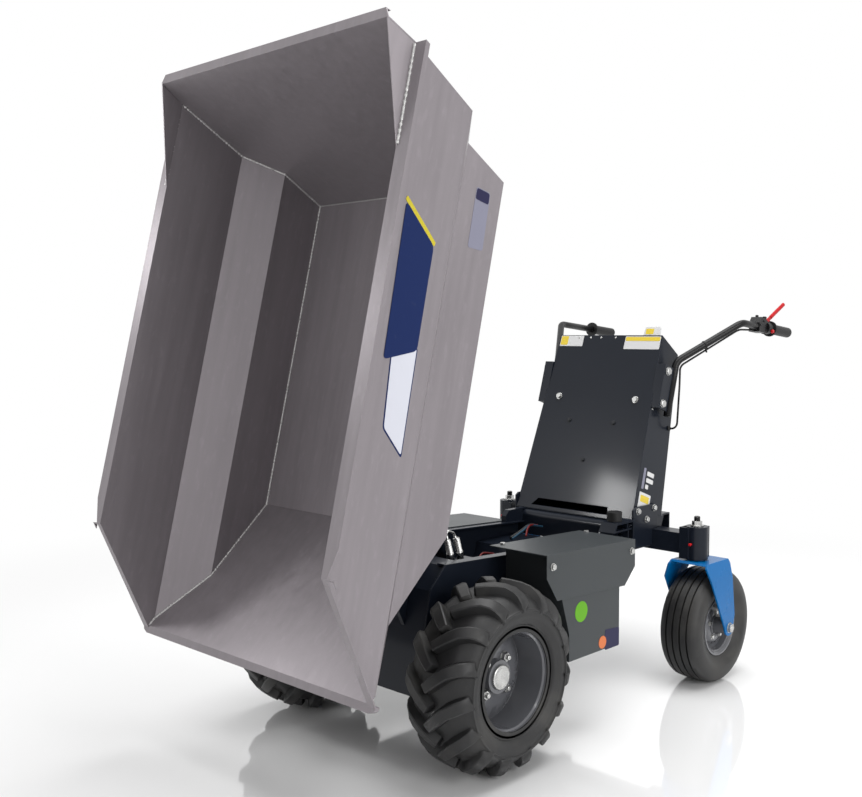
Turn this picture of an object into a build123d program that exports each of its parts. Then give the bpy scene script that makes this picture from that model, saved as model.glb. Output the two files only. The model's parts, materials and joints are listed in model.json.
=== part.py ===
from build123d import *
import os
from math import cos, hypot, radians, sin, sqrt, tan

# Walk-behind electric tipping barrow, parked with its tub raised.
# Millimetres.  +X forward, +Y left, +Z up.  The origin is on the ground, midway
# between the ends and the sides of the machine as it is parked.

# ---------------------------------------------------------------- sizes
FRONT_AXLE_X = 444.0          # front axle ahead of the origin
SIDES = ((1, "left"), (-1, "right"))

# front wheels
FRONT_TRACK = 654.0           # between the wheels' centre planes
TYRE_RADIUS = 228.6           # over the lugs
LUG_DEPTH = 22.0
TYRE_HALF_WIDTH = 97.0
LUGS_PER_FLANK = 15
LUG_BAR = 27.0                # a lug's width at its top, around the tyre
RIM_FLANGE_RADIUS = 130.0
RIM_SEAT_RADIUS = 115.0
RIM_HALF_WIDTH = 80.0
RIM_SHEET = 4.0
DISC_FACE = 8.0               # the disc's outer face, outboard of the centre plane
HUB_NOSE_RADIUS = 40.0
HUB_NOSE_LENGTH = 20.0
HUB_CAP_RADIUS = 29.0
HUB_CAP_LENGTH = 6.0
HUB_FLANGE_RADIUS = 68.0
HUB_FLANGE = 14.0
STUD_CIRCLE = 105.0
STUD_COUNT = 4
STUD_RADIUS = 6.0
NUT_HEIGHT = 10.0
SHAFT_RADIUS = 20.0
SHAFT_LENGTH = 190.0
RUNNING_FIT = 0.05            # radial clearance of a shaft in its hole
BEAD_CLEARANCE = 0.2

# castors
SWIVEL_BACK = 896.0           # swivel axes behind the front axle
SWIVEL_Y = 357.0
CASTOR_TRAIL = 55.0
CASTOR_RADIUS = 168.0
CASTOR_HALF_WIDTH = 64.0
CASTOR_RIM_RADIUS = 88.0
CASTOR_SEAT_RADIUS = 76.0
CASTOR_RIM_HALF = 50.0
CASTOR_HUB_RADIUS = 24.0
CASTOR_AXLE_RADIUS = 8.0
FORK_SHEET = 6.0
FORK_TOP = 368.0              # top of the fork's crown plate
FORK_BEND_Z = 315.0           # where the legs turn upright
FORK_CROWN_HALF = 60.0
FORK_LEG_Y = 74.0             # inner face of a leg from the wheel's centre plane
FORK_LEG_TIP_RADIUS = 24.0
KINGPIN_RADIUS = 12.0
HOUSING_RADIUS = 33.0
HOUSING_BOTTOM = 371.0
HOUSING_TOP = 468.0
HOUSING_GAP = 0.5             # between the housing and the rings above and below it
STEM_TOP = 497.0

# side rails, measured from the front axle
RAIL_Y = 200.0                # outer face of a rail's web
RAIL_SHEET = 5.0
RAIL_TOP = 475.0              # at the nose
RAIL_TOP_REAR = 439.0
RAIL_FLANGE = 25.0
RAIL_BOTTOM = 168.0
RAIL_REAR = -744.0
RAIL_TAIL_BOTTOM = 397.0
NOSE_TOP_X = 20.0
NOSE_KNEE = (73.0, 423.0)
NOSE_FOOT_X = 122.0
NOSE_NOTCH_HALF = 46.0
TAIL_RUN = 80.0               # length over which the lower edge rises to the tail

# tipping hinge and tub
HINGE_X = 160.0               # ahead of the front axle
HINGE_Z = 515.0
HINGE_AHEAD = 62.2            # ahead of the floor's front edge
HINGE_BELOW = 10.0            # below the floor's underside
HINGE_PIN_RADIUS = 10.0
HINGE_EAR_Y = 112.0
HINGE_EAR = 12.0
HINGE_EAR_RADIUS = 22.0
HINGE_GAP = 2.0
TIP_ANGLE = 76.45
TUB_SHEET = 3.0
FLOOR_LENGTH = 830.0
FLOOR_HALF = 328.0
LEDGE_LOW = (FLOOR_HALF, 138.0)    # half width, height above the floor
LEDGE_HIGH = (410.0, 225.5)
RIM_HALF = 416.0
RIM_HEIGHT = 425.5
BACK_HALF = 405.0
BACK_HEIGHT = 498.0
REAR_LEAN = 17.75
FRONT_LEAN = 55.7
LIP_HEIGHT = 239.0
RIM_TURN_X = 936.0            # where the rim turns down to the lip
RIM_FLANGE = 32.0
RIM_RETURN = 12.0
RIM_TAPER = 60.0              # length over which the rim's flange narrows at its front
SLOPE_FLANGE = 13.0           # along the sloping front edges
LIP_FLANGE = 13.0
BACK_FLANGE = 19.0
BACK_MITRE = 10.0
WING_LENGTH = 218.0
CHANNEL_Y = 128.0
CHANNEL_WIDTH = 40.0
CHANNEL_DEPTH = 30.0
CHANNEL_START = 90.0
CROSS_BAR = (50.0, 8.0)       # along the floor, thickness

# lift ram
RAM_BASE_X = -400.0           # from the front axle
RAM_BASE_Z = 260.0
RAM_EYE_X = 700.0             # along the tub's floor
RAM_EYE_BELOW = 50.0
RAM_BARREL_RADIUS = 28.0
RAM_BORE = 22.0
ROD_RADIUS = 14.0
PISTON_LENGTH = 20.0
EYE_RADIUS = 20.0
EYE_HALF = 20.0
RAM_PIN_RADIUS = 10.0
RAM_EAR = 8.0
RAM_EAR_Y = 24.0
CROSS_SHEET = 5.0

# battery boxes, measured from the front axle
COVER_TOP = (498.0, 484.0)    # the left lid's height at its front and rear
COVER_INNER_Y = 196.0
COVER_OUTER_Y = 380.0
COVER_SHEET = 3.0
COVER_FRONT = -146.0
COVER_REAR = -532.0
COVER_HEM = (379.0, 366.0)
FAR_COVER_REAR = -690.0       # the right lid lies on its rail and reaches further back
FAR_BOX_STEP = 350.0          # underside of the right box behind its battery
TRAY_BOTTOM = 213.0
TRAY_FRONT = -242.0
TRAY_REAR = -463.0
TRAY_SHEET = 3.0
BATTERY_HEIGHT = 205.0
BATTERY_GAP = 11.0

# rear sill, castor beam and tower, measured from the front axle
SILL_DEPTH = 78.0
SILL_HALF = 218.0
SILL_TOP = 474.0
SILL_SHEET = 5.0
SILL_LIP_RADIUS = 18.0
BUFFER_X = -701.0
BUFFER_Y = 199.0
BUFFER_RADIUS = 22.0
BUFFER_TOP = 516.0
BUFFER_HEIGHT = 28.0
BEAM_WIDTH = 60.0
BEAM_BOTTOM = 386.0
BEAM_TOP = 446.0
BEAM_WALL = 4.0
BEAM_END_PLATE = 6.0
SADDLE_X = 35.0               # the plates before and behind a castor's housing
SADDLE_FRONT = 350.0          # how far out they reach
SADDLE_REAR = 377.0
CHEEK_SHEET = 6.0
CHEEK_TOP = 522.0
CHEEK_REAR = -895.0
DECK_SHEET = 5.0
DECK_TAIL = 16.0              # the deck's edge behind the tower
LOOP_Y = 205.0
LOOP_WIDTH = 45.0
LOOP_REAR = -996.0
LOOP_BOTTOM = 400.0
TOWER_BASE_FRONT = -762.0
TOWER_BASE_REAR = -923.0
TOWER_TOP_FRONT = (-960.0, 1029.0)
TOWER_TOP_REAR = (-1045.0, 969.0)
TOWER_BASE_HALF = 218.0
TOWER_TOP_HALF = 193.0
TOWER_SHEET = 3.0
SLOT_LOW = 490.0
SLOT_HIGH = 511.0
SLOT_ENDS = (-160.0, 128.0)   # the slot's right and left ends, along its lower edge
SLOT_SLANT = (22.0, 4.0)      # how far each end comes in at the upper edge

# handlebars
BAR_RADIUS = 11.0
BAR_FOOT = (-938.0, 225.0, 782.0)
BAR_KNEE = (-988.0, 225.0, 948.0)
BAR_ELBOW = (-1167.0, 347.0, 1067.0)
BAR_END = (-1475.0, 347.0, 1037.0)
BAR_BEND = 45.0
GRIP_RADIUS = 16.5
GRIP_LENGTH = 125.0
GRIP_FLANGE_RADIUS = 25.0
GRIP_FLANGE = 7.0
GRIP_CAP = 5.0
CABLE_RADIUS = 3.0

AXLE_TUBE_RADIUS = 36.0
AXLE_TUBE_END = 300.0
AXLE_BORE = 220.0
GEARBOX = (150.0, 120.0, 165.0)
GEARBOX_CORNER = 28.0
GEARBOX_Y = -70.0
MOTOR_RADIUS = 48.0
MOTOR_LENGTH = 210.0
AXLE_PLATE = (120.0, 110.0, 8.0)    # the plates on the rails' inner faces: length, height, sheet

SWIVEL_X = FRONT_AXLE_X - SWIVEL_BACK
CASTOR_X = SWIVEL_X - CASTOR_TRAIL


# ---------------------------------------------------------------- helpers
def finish(piece, name):
    """Label a finished sub-part and write its STEP file."""
    piece.part.label = name
    export_step(piece.part, f"parts/{name}.step")


def behind(x):
    """Turn a distance from the front axle into the model's x."""
    return FRONT_AXLE_X + x


def rail_top(x):
    """Height of the rails' top at a distance from the front axle."""
    return RAIL_TOP + (RAIL_TOP_REAR - RAIL_TOP) * (NOSE_TOP_X - x) / (NOSE_TOP_X - RAIL_REAR)


def side_view(y):
    """The upright lengthwise plane at y: it draws x and z and extrudes towards -Y."""
    return Plane(origin=(0, y, 0), x_dir=(1, 0, 0), z_dir=(0, -1, 0))


def folded(points, sheet):
    """Outline of a folded sheet: the line through the points, and its parallel on the left."""
    lines = []
    for (x0, y0), (x1, y1) in zip(points, points[1:]):
        length = hypot(x1 - x0, y1 - y0)
        lines.append(((x1 - x0) / length, (y1 - y0) / length))
    back = []
    for index, (x, y) in enumerate(points):
        before = lines[max(index - 1, 0)]
        after = lines[min(index, len(lines) - 1)]
        mid = (before[0] + after[0], before[1] + after[1])
        scale = 2 * sheet / (mid[0] ** 2 + mid[1] ** 2)
        back.append((x - mid[1] * scale, y + mid[0] * scale))
    return list(points) + back[::-1]


def wheel_section(centre, side):
    """The plane through a wheel's axis that draws radius and distance outboard."""
    return Plane(origin=centre, x_dir=(1, 0, 0), z_dir=(0, 0, side))


def mirrored(half):
    """A closed outline in radius and distance, from its half with distance above zero."""
    return list(half) + [(radius, -across) for radius, across in reversed(half)]


os.makedirs("parts", exist_ok=True)

# ---------------------------------------------------------------- front wheels
CARCASS_RADIUS = TYRE_RADIUS - LUG_DEPTH
# radius, distance from the centre plane
TYRE_HALF = (
    (RIM_SEAT_RADIUS + BEAD_CLEARANCE, RIM_HALF_WIDTH - RIM_SHEET),
    (RIM_FLANGE_RADIUS + 1, RIM_HALF_WIDTH - RIM_SHEET),
    (RIM_FLANGE_RADIUS + 22, TYRE_HALF_WIDTH - 3),
    (RIM_FLANGE_RADIUS + 50, TYRE_HALF_WIDTH - 3),
    (CARCASS_RADIUS, TYRE_HALF_WIDTH - 30),
)
RIM_HALF_OUTLINE = (
    (RIM_SEAT_RADIUS - RIM_SHEET, RIM_HALF_WIDTH - 12),
    (RIM_FLANGE_RADIUS - 7, RIM_HALF_WIDTH),
    (RIM_FLANGE_RADIUS, RIM_HALF_WIDTH),
    (RIM_FLANGE_RADIUS, RIM_HALF_WIDTH - RIM_SHEET),
    (RIM_SEAT_RADIUS, RIM_HALF_WIDTH - RIM_SHEET),
)
# distance from the centre plane, degrees round the tyre, base radius, top radius, bar width
LUG_SECTIONS = (
    (-6.0, 0.0, CARCASS_RADIUS - 5, TYRE_RADIUS, LUG_BAR),
    (TYRE_HALF_WIDTH - 38, 12.0, CARCASS_RADIUS - 5, TYRE_RADIUS, LUG_BAR * 1.15),
    (TYRE_HALF_WIDTH - 10, 17.0, CARCASS_RADIUS - 26, TYRE_RADIUS - 11, LUG_BAR * 1.15),
    (TYRE_HALF_WIDTH, 20.0, CARCASS_RADIUS - 44, TYRE_RADIUS - 36, LUG_BAR),
)
LUG_PITCH = 360 / LUGS_PER_FLANK

for side, hand in SIDES:
    centre = Vector(FRONT_AXLE_X, side * FRONT_TRACK / 2, TYRE_RADIUS)
    axle = Axis(centre, (0, side, 0))
    section = wheel_section(centre, side)

    lugs = []
    for flank in (1, -1):
        with BuildPart() as lug:
            for across, round_by, base, top, bar in LUG_SECTIONS:
                around = radians(round_by + (LUG_PITCH / 4) * flank)
                radial = Vector(cos(around), 0, sin(around))
                crown = sqrt(top ** 2 - (bar / 2) ** 2)
                origin = centre + radial * ((base + crown) / 2) + Vector(0, flank * across, 0)
                tangent = (-radial.Z, 0, radial.X)
                with BuildSketch(Plane(origin=origin, x_dir=tangent, z_dir=(0, flank, 0))):
                    Rectangle(bar, crown - base)
            loft(ruled=True)
        lugs.append(lug.part)

    with BuildPart() as tyre:
        with BuildSketch(section):
            Polygon(*mirrored(TYRE_HALF), align=None)
        revolve(axis=axle)
        for step in range(LUGS_PER_FLANK):
            for lug in lugs:
                add(lug.rotate(axle, step * LUG_PITCH))
    finish(tyre, f"front_tyre_{hand}")

    # a deep dished rim: flanges and barrel, then the disc
    with BuildPart() as rim:
        with BuildSketch(section):
            Polygon(*mirrored(RIM_HALF_OUTLINE), align=None)
        revolve(axis=axle)
        with BuildSketch(section):
            Polygon(
                (HUB_NOSE_RADIUS, DISC_FACE - RIM_SHEET),
                (HUB_NOSE_RADIUS, DISC_FACE),
                (HUB_FLANGE_RADIUS + 6, DISC_FACE),
                (RIM_SEAT_RADIUS - RIM_SHEET + 1, DISC_FACE - 16),
                (RIM_SEAT_RADIUS - RIM_SHEET + 1, DISC_FACE - 16 - RIM_SHEET),
                (HUB_FLANGE_RADIUS + 5, DISC_FACE - RIM_SHEET),
                align=None,
            )
        revolve(axis=axle)
        with Locations(Plane(origin=centre, x_dir=(1, 0, 0), z_dir=(0, side, 0)).offset(DISC_FACE)):
            with PolarLocations(STUD_CIRCLE / 2, STUD_COUNT, start_angle=45):
                Hole(STUD_RADIUS + 0.5, depth=2 * RIM_SHEET)
    finish(rim, f"front_rim_{hand}")

    # hub: shaft, flange with studs and nuts, nose and cap
    hub_face = Plane(origin=centre, x_dir=(1, 0, 0), z_dir=(0, side, 0))
    disc_back = DISC_FACE - RIM_SHEET
    with BuildPart() as hub:
        with BuildSketch(section):
            Polygon(
                (0, disc_back - HUB_FLANGE - SHAFT_LENGTH),
                (SHAFT_RADIUS, disc_back - HUB_FLANGE - SHAFT_LENGTH),
                (SHAFT_RADIUS, disc_back - HUB_FLANGE),
                (HUB_FLANGE_RADIUS, disc_back - HUB_FLANGE),
                (HUB_FLANGE_RADIUS, disc_back),
                (HUB_NOSE_RADIUS - BEAD_CLEARANCE, disc_back),
                (HUB_NOSE_RADIUS - BEAD_CLEARANCE, DISC_FACE + HUB_NOSE_LENGTH),
                (HUB_CAP_RADIUS, DISC_FACE + HUB_NOSE_LENGTH),
                (HUB_CAP_RADIUS, DISC_FACE + HUB_NOSE_LENGTH + HUB_CAP_LENGTH),
                (0, DISC_FACE + HUB_NOSE_LENGTH + HUB_CAP_LENGTH),
                align=None,
            )
        revolve(axis=axle)
        with BuildSketch(hub_face.offset(disc_back)):
            with PolarLocations(STUD_CIRCLE / 2, STUD_COUNT, start_angle=45):
                Circle(STUD_RADIUS)
        extrude(amount=RIM_SHEET + NUT_HEIGHT + 6)
        with BuildSketch(hub_face.offset(DISC_FACE)):
            with PolarLocations(STUD_CIRCLE / 2, STUD_COUNT, start_angle=45):
                RegularPolygon(STUD_RADIUS * 1.75, 6)
        extrude(amount=NUT_HEIGHT)
    finish(hub, f"front_hub_{hand}")

# ---------------------------------------------------------------- castors
CASTOR_TYRE_HALF = (
    (CASTOR_SEAT_RADIUS + BEAD_CLEARANCE, CASTOR_RIM_HALF - RIM_SHEET),
    (CASTOR_RIM_RADIUS + 1, CASTOR_RIM_HALF - RIM_SHEET),
    (CASTOR_RIM_RADIUS + 18, CASTOR_HALF_WIDTH),
    (CASTOR_RADIUS - 26, CASTOR_HALF_WIDTH),
    (CASTOR_RADIUS - 6, CASTOR_HALF_WIDTH - 16),
    (CASTOR_RADIUS, CASTOR_HALF_WIDTH - 34),
)
CASTOR_RIM_OUTLINE = (
    (CASTOR_SEAT_RADIUS - RIM_SHEET, CASTOR_RIM_HALF - 8),
    (CASTOR_RIM_RADIUS - 5, CASTOR_RIM_HALF),
    (CASTOR_RIM_RADIUS, CASTOR_RIM_HALF),
    (CASTOR_RIM_RADIUS, CASTOR_RIM_HALF - RIM_SHEET),
    (CASTOR_SEAT_RADIUS, CASTOR_RIM_HALF - RIM_SHEET),
)
CASTOR_HUB_OUTLINE = (
    (CASTOR_AXLE_RADIUS + RUNNING_FIT, FORK_LEG_Y - 4),
    (CASTOR_HUB_RADIUS - 6, FORK_LEG_Y - 4),
    (CASTOR_HUB_RADIUS, 40),
)
# the fork leg's front and back edges, from the swivel axis
LEG_FRONT = 48.0
LEG_BACK = -72.0

for side, hand in SIDES:
    centre = Vector(CASTOR_X, side * SWIVEL_Y, CASTOR_RADIUS)
    pivot = (SWIVEL_X, side * SWIVEL_Y)
    axle = Axis(centre, (0, side, 0))
    section = wheel_section(centre, side)

    with BuildPart() as castor_tyre:
        with BuildSketch(section):
            Polygon(*mirrored(CASTOR_TYRE_HALF), align=None)
        revolve(axis=axle)
    finish(castor_tyre, f"castor_tyre_{hand}")

    with BuildPart() as castor_rim:
        with BuildSketch(section):
            Polygon(*mirrored(CASTOR_RIM_OUTLINE), align=None)
        revolve(axis=axle)
        with BuildSketch(section):
            Polygon(*mirrored(CASTOR_HUB_OUTLINE), align=None)
        revolve(axis=axle)
        with BuildSketch(section):
            Polygon(
                (CASTOR_HUB_RADIUS - 1, 18 - RIM_SHEET),
                (CASTOR_HUB_RADIUS - 1, 18),
                (CASTOR_HUB_RADIUS + 22, 18),
                (CASTOR_SEAT_RADIUS - RIM_SHEET + 1, 4),
                (CASTOR_SEAT_RADIUS - RIM_SHEET + 1, 4 - RIM_SHEET),
                (CASTOR_HUB_RADIUS + 20, 18 - RIM_SHEET),
                align=None,
            )
        revolve(axis=axle)
    finish(castor_rim, f"castor_rim_{hand}")

    # a folded fork: crown plate, sloped shoulders and upright tapered legs
    crown_plane = Plane(origin=(pivot[0], pivot[1], 0), x_dir=(0, 1, 0), z_dir=(1, 0, 0))
    leg_outer = FORK_LEG_Y + FORK_SHEET
    shoulder = [
        (leg_outer, CASTOR_RADIUS - FORK_LEG_TIP_RADIUS - 2),
        (leg_outer, FORK_BEND_Z),
        (FORK_CROWN_HALF, FORK_TOP),
        (-FORK_CROWN_HALF, FORK_TOP),
        (-leg_outer, FORK_BEND_Z),
        (-leg_outer, CASTOR_RADIUS - FORK_LEG_TIP_RADIUS - 2),
    ]
    with BuildPart() as fork:
        with BuildSketch(crown_plane.offset(LEG_BACK - 20)):
            Polygon(*folded(shoulder, FORK_SHEET), align=None)
        extrude(amount=LEG_FRONT - LEG_BACK + 40)
        with BuildSketch(side_view(pivot[1] + leg_outer + 1)):
            with Locations((CASTOR_X, CASTOR_RADIUS)):
                Circle(FORK_LEG_TIP_RADIUS)
            Polygon(
                (pivot[0] + LEG_FRONT, FORK_BEND_Z),
                (pivot[0] + LEG_FRONT + 6, FORK_TOP - 12),
                (pivot[0] + LEG_FRONT - 6, FORK_TOP + 1),
                (pivot[0] + LEG_BACK - 8, FORK_TOP + 1),
                (pivot[0] + LEG_BACK - 12, FORK_TOP - 12),
                (pivot[0] + LEG_BACK, FORK_BEND_Z),
                (CASTOR_X - FORK_LEG_TIP_RADIUS - 8, CASTOR_RADIUS + 34),
                (CASTOR_X - FORK_LEG_TIP_RADIUS, CASTOR_RADIUS),
                (CASTOR_X, CASTOR_RADIUS - FORK_LEG_TIP_RADIUS),
                (CASTOR_X + FORK_LEG_TIP_RADIUS, CASTOR_RADIUS),
                align=None,
            )
        extrude(amount=2 * leg_outer + 2, mode=Mode.INTERSECT)
        with BuildSketch(Plane(origin=(pivot[0], pivot[1], FORK_TOP))):
            Circle(HOUSING_RADIUS - 8)
        extrude(amount=HOUSING_BOTTOM - HOUSING_GAP - FORK_TOP)
        with BuildSketch(side_view(centre.Y + leg_outer + 1)):
            with Locations((CASTOR_X, CASTOR_RADIUS)):
                Circle(CASTOR_AXLE_RADIUS)
        extrude(amount=2 * leg_outer + 2, mode=Mode.SUBTRACT)
        with BuildSketch(Plane(origin=(pivot[0], pivot[1], FORK_TOP - FORK_SHEET - 1))):
            Circle(KINGPIN_RADIUS)
        extrude(amount=HOUSING_BOTTOM - FORK_TOP + FORK_SHEET + 1, mode=Mode.SUBTRACT)
    finish(fork, f"castor_fork_{hand}")

    # kingpin with its nut above the housing, and the axle bolt with head and nut
    with BuildPart() as pins:
        with BuildSketch(Plane(origin=(pivot[0], pivot[1], FORK_TOP - FORK_SHEET))):
            Circle(KINGPIN_RADIUS)
        extrude(amount=HOUSING_TOP + 12 - FORK_TOP + FORK_SHEET)
        with BuildSketch(Plane(origin=(pivot[0], pivot[1], HOUSING_TOP + HOUSING_GAP))):
            Circle(KINGPIN_RADIUS + 7)
        extrude(amount=3)
        with BuildSketch(Plane(origin=(pivot[0], pivot[1], HOUSING_TOP + HOUSING_GAP + 3))):
            RegularPolygon(KINGPIN_RADIUS + 3, 6)
        extrude(amount=12)
        with BuildSketch(Plane(origin=(pivot[0], pivot[1], HOUSING_TOP + 12))):
            Circle(KINGPIN_RADIUS - 4)
        extrude(amount=STEM_TOP - HOUSING_TOP - 12)
        with BuildSketch(side_view(centre.Y + leg_outer + 8)):
            with Locations((CASTOR_X, CASTOR_RADIUS)):
                Circle(CASTOR_AXLE_RADIUS)
        extrude(amount=2 * leg_outer + 16)
        for face in (leg_outer + 9, -leg_outer):
            with BuildSketch(side_view(centre.Y + face)):
                with Locations((CASTOR_X, CASTOR_RADIUS)):
                    RegularPolygon(CASTOR_AXLE_RADIUS * 1.7, 6)
            extrude(amount=9)
    finish(pins, f"castor_pins_{hand}")

# ---------------------------------------------------------------- tub
tip = radians(TIP_ANGLE)
ahead = Vector(cos(tip), 0, -sin(tip))
upward = Vector(sin(tip), 0, cos(tip))
HINGE = Vector(behind(HINGE_X), 0, HINGE_Z)
tub_origin = HINGE - ahead * (FLOOR_LENGTH + HINGE_AHEAD) + upward * HINGE_BELOW
# the tub's own planes: its side view (x along the floor, z off it) and its cross section
tub_section = Plane(origin=tub_origin, x_dir=(0, 1, 0), z_dir=ahead)
REACH = 1400.0                # more than the tub or the tower measures, for cuts right through


def tub_side(y):
    """The tub's lengthwise plane at y; it extrudes towards -Y."""
    return Plane(origin=tub_origin + Vector(0, y, 0), x_dir=ahead, z_dir=(0, -1, 0))


def tub_plan(height):
    """The plane over the tub's floor at a height: it draws x along the floor and y."""
    return Plane(origin=tub_origin + upward * height, x_dir=ahead, z_dir=upward)


def rear_x(height, inset=0.0):
    """Where the rear wall stands at a height, moved into the tub by inset."""
    return -height * tan(radians(REAR_LEAN)) + inset / cos(radians(REAR_LEAN))


def front_x(height, inset=0.0):
    """Where the front wall stands at a height, moved into the tub by inset."""
    return FLOOR_LENGTH + height * tan(radians(FRONT_LEAN)) - inset / cos(radians(FRONT_LEAN))


LIP_X = front_x(LIP_HEIGHT)
# the body's half width at the lip
LIP_HALF = LEDGE_HIGH[0] + (RIM_HALF - LEDGE_HIGH[0]) * (LIP_HEIGHT - LEDGE_HIGH[1]) / (
    RIM_HEIGHT - LEDGE_HIGH[1]
)
# the space between the end walls and under the rim, in the tub's side view
BETWEEN_WALLS = (
    (rear_x(-20, TUB_SHEET), -20),
    (rear_x(RIM_HEIGHT, TUB_SHEET), RIM_HEIGHT),
    (RIM_TURN_X, RIM_HEIGHT),
    (LIP_X, LIP_HEIGHT),
    (front_x(LIP_HEIGHT, TUB_SHEET), LIP_HEIGHT),
    (front_x(-20, TUB_SHEET), -20),
)
# half width and height of the body, from the floor's middle up to the rim
BODY_HALF = ((FLOOR_HALF, 0), LEDGE_LOW, LEDGE_HIGH, (RIM_HALF, RIM_HEIGHT))


def body_outline(inset=0.0):
    """The closed cross section of the body, with its walls moved in by inset."""
    wall = list(BODY_HALF)
    if inset:
        line = [(0, 0)] + wall
        wall = folded(line, inset)[len(line):][::-1][1:]
    return wall + [(-y, z) for y, z in reversed(wall)]


with BuildPart() as tub_floor:
    with BuildSketch(tub_section.offset(-REACH / 2)):
        Polygon(
            (FLOOR_HALF - TUB_SHEET, 0),
            (FLOOR_HALF - TUB_SHEET, TUB_SHEET),
            (-FLOOR_HALF + TUB_SHEET, TUB_SHEET),
            (-FLOOR_HALF + TUB_SHEET, 0),
            align=None,
        )
    extrude(amount=2 * REACH)
    with BuildSketch(tub_side(REACH / 2)):
        Polygon(*BETWEEN_WALLS, align=None)
    extrude(amount=REACH, mode=Mode.INTERSECT)
finish(tub_floor, "tub_floor")

for side, hand in SIDES:
    wall = [(side * y, z) for y, z in BODY_HALF]
    wall.append((side * (RIM_HALF + RIM_FLANGE), RIM_HEIGHT))
    wall.append((side * (RIM_HALF + RIM_FLANGE), RIM_HEIGHT - RIM_RETURN))
    # the side's sheet lies inside its outer line, the flange's below its top
    profile = folded([(side * y, z) for y, z in BODY_HALF], side * TUB_SHEET)
    with BuildPart() as tub_wall:
        with BuildSketch(tub_section.offset(-REACH / 2)):
            Polygon(*profile, align=None)
            Polygon(
                (side * (RIM_HALF - TUB_SHEET), RIM_HEIGHT),
                *wall[4:],
                (side * (RIM_HALF + RIM_FLANGE - TUB_SHEET), RIM_HEIGHT - RIM_RETURN),
                (side * (RIM_HALF + RIM_FLANGE - TUB_SHEET), RIM_HEIGHT - TUB_SHEET),
                (side * (RIM_HALF - TUB_SHEET), RIM_HEIGHT - TUB_SHEET),
                align=None,
            )
        extrude(amount=2 * REACH)
        with BuildSketch(tub_side(REACH / 2)):
            Polygon(*BETWEEN_WALLS, align=None)
        extrude(amount=REACH, mode=Mode.INTERSECT)
        # the rim's flange narrows to the one along the sloping front edge
        with BuildSketch(tub_plan(RIM_HEIGHT - RIM_RETURN - 1)):
            Polygon(
                (RIM_TURN_X - RIM_TAPER, side * (RIM_HALF + RIM_FLANGE + 1)),
                (RIM_TURN_X + 1, side * (RIM_HALF + RIM_FLANGE + 1)),
                (RIM_TURN_X + 1, side * (RIM_HALF + SLOPE_FLANGE)),
                (RIM_TURN_X, side * (RIM_HALF + SLOPE_FLANGE)),
                (RIM_TURN_X - RIM_TAPER, side * (RIM_HALF + RIM_FLANGE)),
                align=None,
            )
        extrude(amount=RIM_RETURN + 2, mode=Mode.SUBTRACT)
        slope_face = RIM_HALF + SLOPE_FLANGE if side > 0 else -LIP_HALF
        with BuildSketch(tub_side(slope_face)):
            Polygon(
                *folded([(LIP_X, LIP_HEIGHT), (RIM_TURN_X, RIM_HEIGHT)], TUB_SHEET),
                align=None,
            )
        extrude(amount=RIM_HALF + SLOPE_FLANGE - LIP_HALF)
        with BuildSketch(tub_section.offset(-REACH / 2)):
            Polygon(*body_outline(TUB_SHEET), align=None)
        extrude(amount=2 * REACH, mode=Mode.SUBTRACT)
    finish(tub_wall, f"tub_side_{hand}")

with BuildPart() as tub_front:
    with BuildSketch(tub_section.offset(-REACH / 2)):
        Polygon(*body_outline(), align=None)
    extrude(amount=2 * REACH)
    with BuildSketch(tub_side(REACH / 2)):
        Polygon(
            (front_x(0, TUB_SHEET), 0),
            (front_x(LIP_HEIGHT, TUB_SHEET), LIP_HEIGHT),
            (LIP_X, LIP_HEIGHT),
            (FLOOR_LENGTH, 0),
            align=None,
        )
    extrude(amount=REACH, mode=Mode.INTERSECT)
    with BuildSketch(tub_side(LEDGE_HIGH[0] - TUB_SHEET)):
        Polygon(
            *folded(
                [
                    (LIP_X + LIP_FLANGE, LIP_HEIGHT - RIM_RETURN),
                    (LIP_X + LIP_FLANGE, LIP_HEIGHT),
                    (LIP_X - 4, LIP_HEIGHT),
                ],
                TUB_SHEET,
            ),
            align=None,
        )
    extrude(amount=2 * (LEDGE_HIGH[0] - TUB_SHEET))
finish(tub_front, "tub_front")

with BuildPart() as tub_rear:
    with BuildSketch(tub_section.offset(-REACH / 2)):
        Polygon(
            *body_outline()[:4],
            (BACK_HALF, BACK_HEIGHT),
            (-BACK_HALF, BACK_HEIGHT),
            *body_outline()[4:],
            align=None,
        )
    extrude(amount=2 * REACH)
    with BuildSketch(tub_side(REACH / 2)):
        Polygon(
            (0, 0),
            (rear_x(BACK_HEIGHT), BACK_HEIGHT),
            (rear_x(BACK_HEIGHT, TUB_SHEET), BACK_HEIGHT),
            (rear_x(0, TUB_SHEET), 0),
            align=None,
        )
    extrude(amount=REACH, mode=Mode.INTERSECT)
    with BuildSketch(tub_side(BACK_HALF)):
        Polygon(
            *folded(
                [
                    (rear_x(BACK_HEIGHT) + 1, BACK_HEIGHT),
                    (rear_x(BACK_HEIGHT) - BACK_FLANGE, BACK_HEIGHT),
                    (rear_x(BACK_HEIGHT) - BACK_FLANGE, BACK_HEIGHT - RIM_RETURN),
                ],
                TUB_SHEET,
            ),
            align=None,
        )
    extrude(amount=2 * BACK_HALF)
    for side, hand in SIDES:
        with BuildSketch(tub_plan(BACK_HEIGHT - RIM_RETURN - 1)):
            Polygon(
                (rear_x(BACK_HEIGHT) - 1, side * (BACK_HALF + 1)),
                (rear_x(BACK_HEIGHT) - 1, side * BACK_HALF),
                (rear_x(BACK_HEIGHT) - BACK_FLANGE - 1, side * (BACK_HALF - BACK_MITRE)),
                (rear_x(BACK_HEIGHT) - BACK_FLANGE - 1, side * (BACK_HALF + 1)),
                align=None,
            )
        extrude(amount=RIM_RETURN + 2, mode=Mode.SUBTRACT)
finish(tub_rear, "tub_rear")

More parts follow.
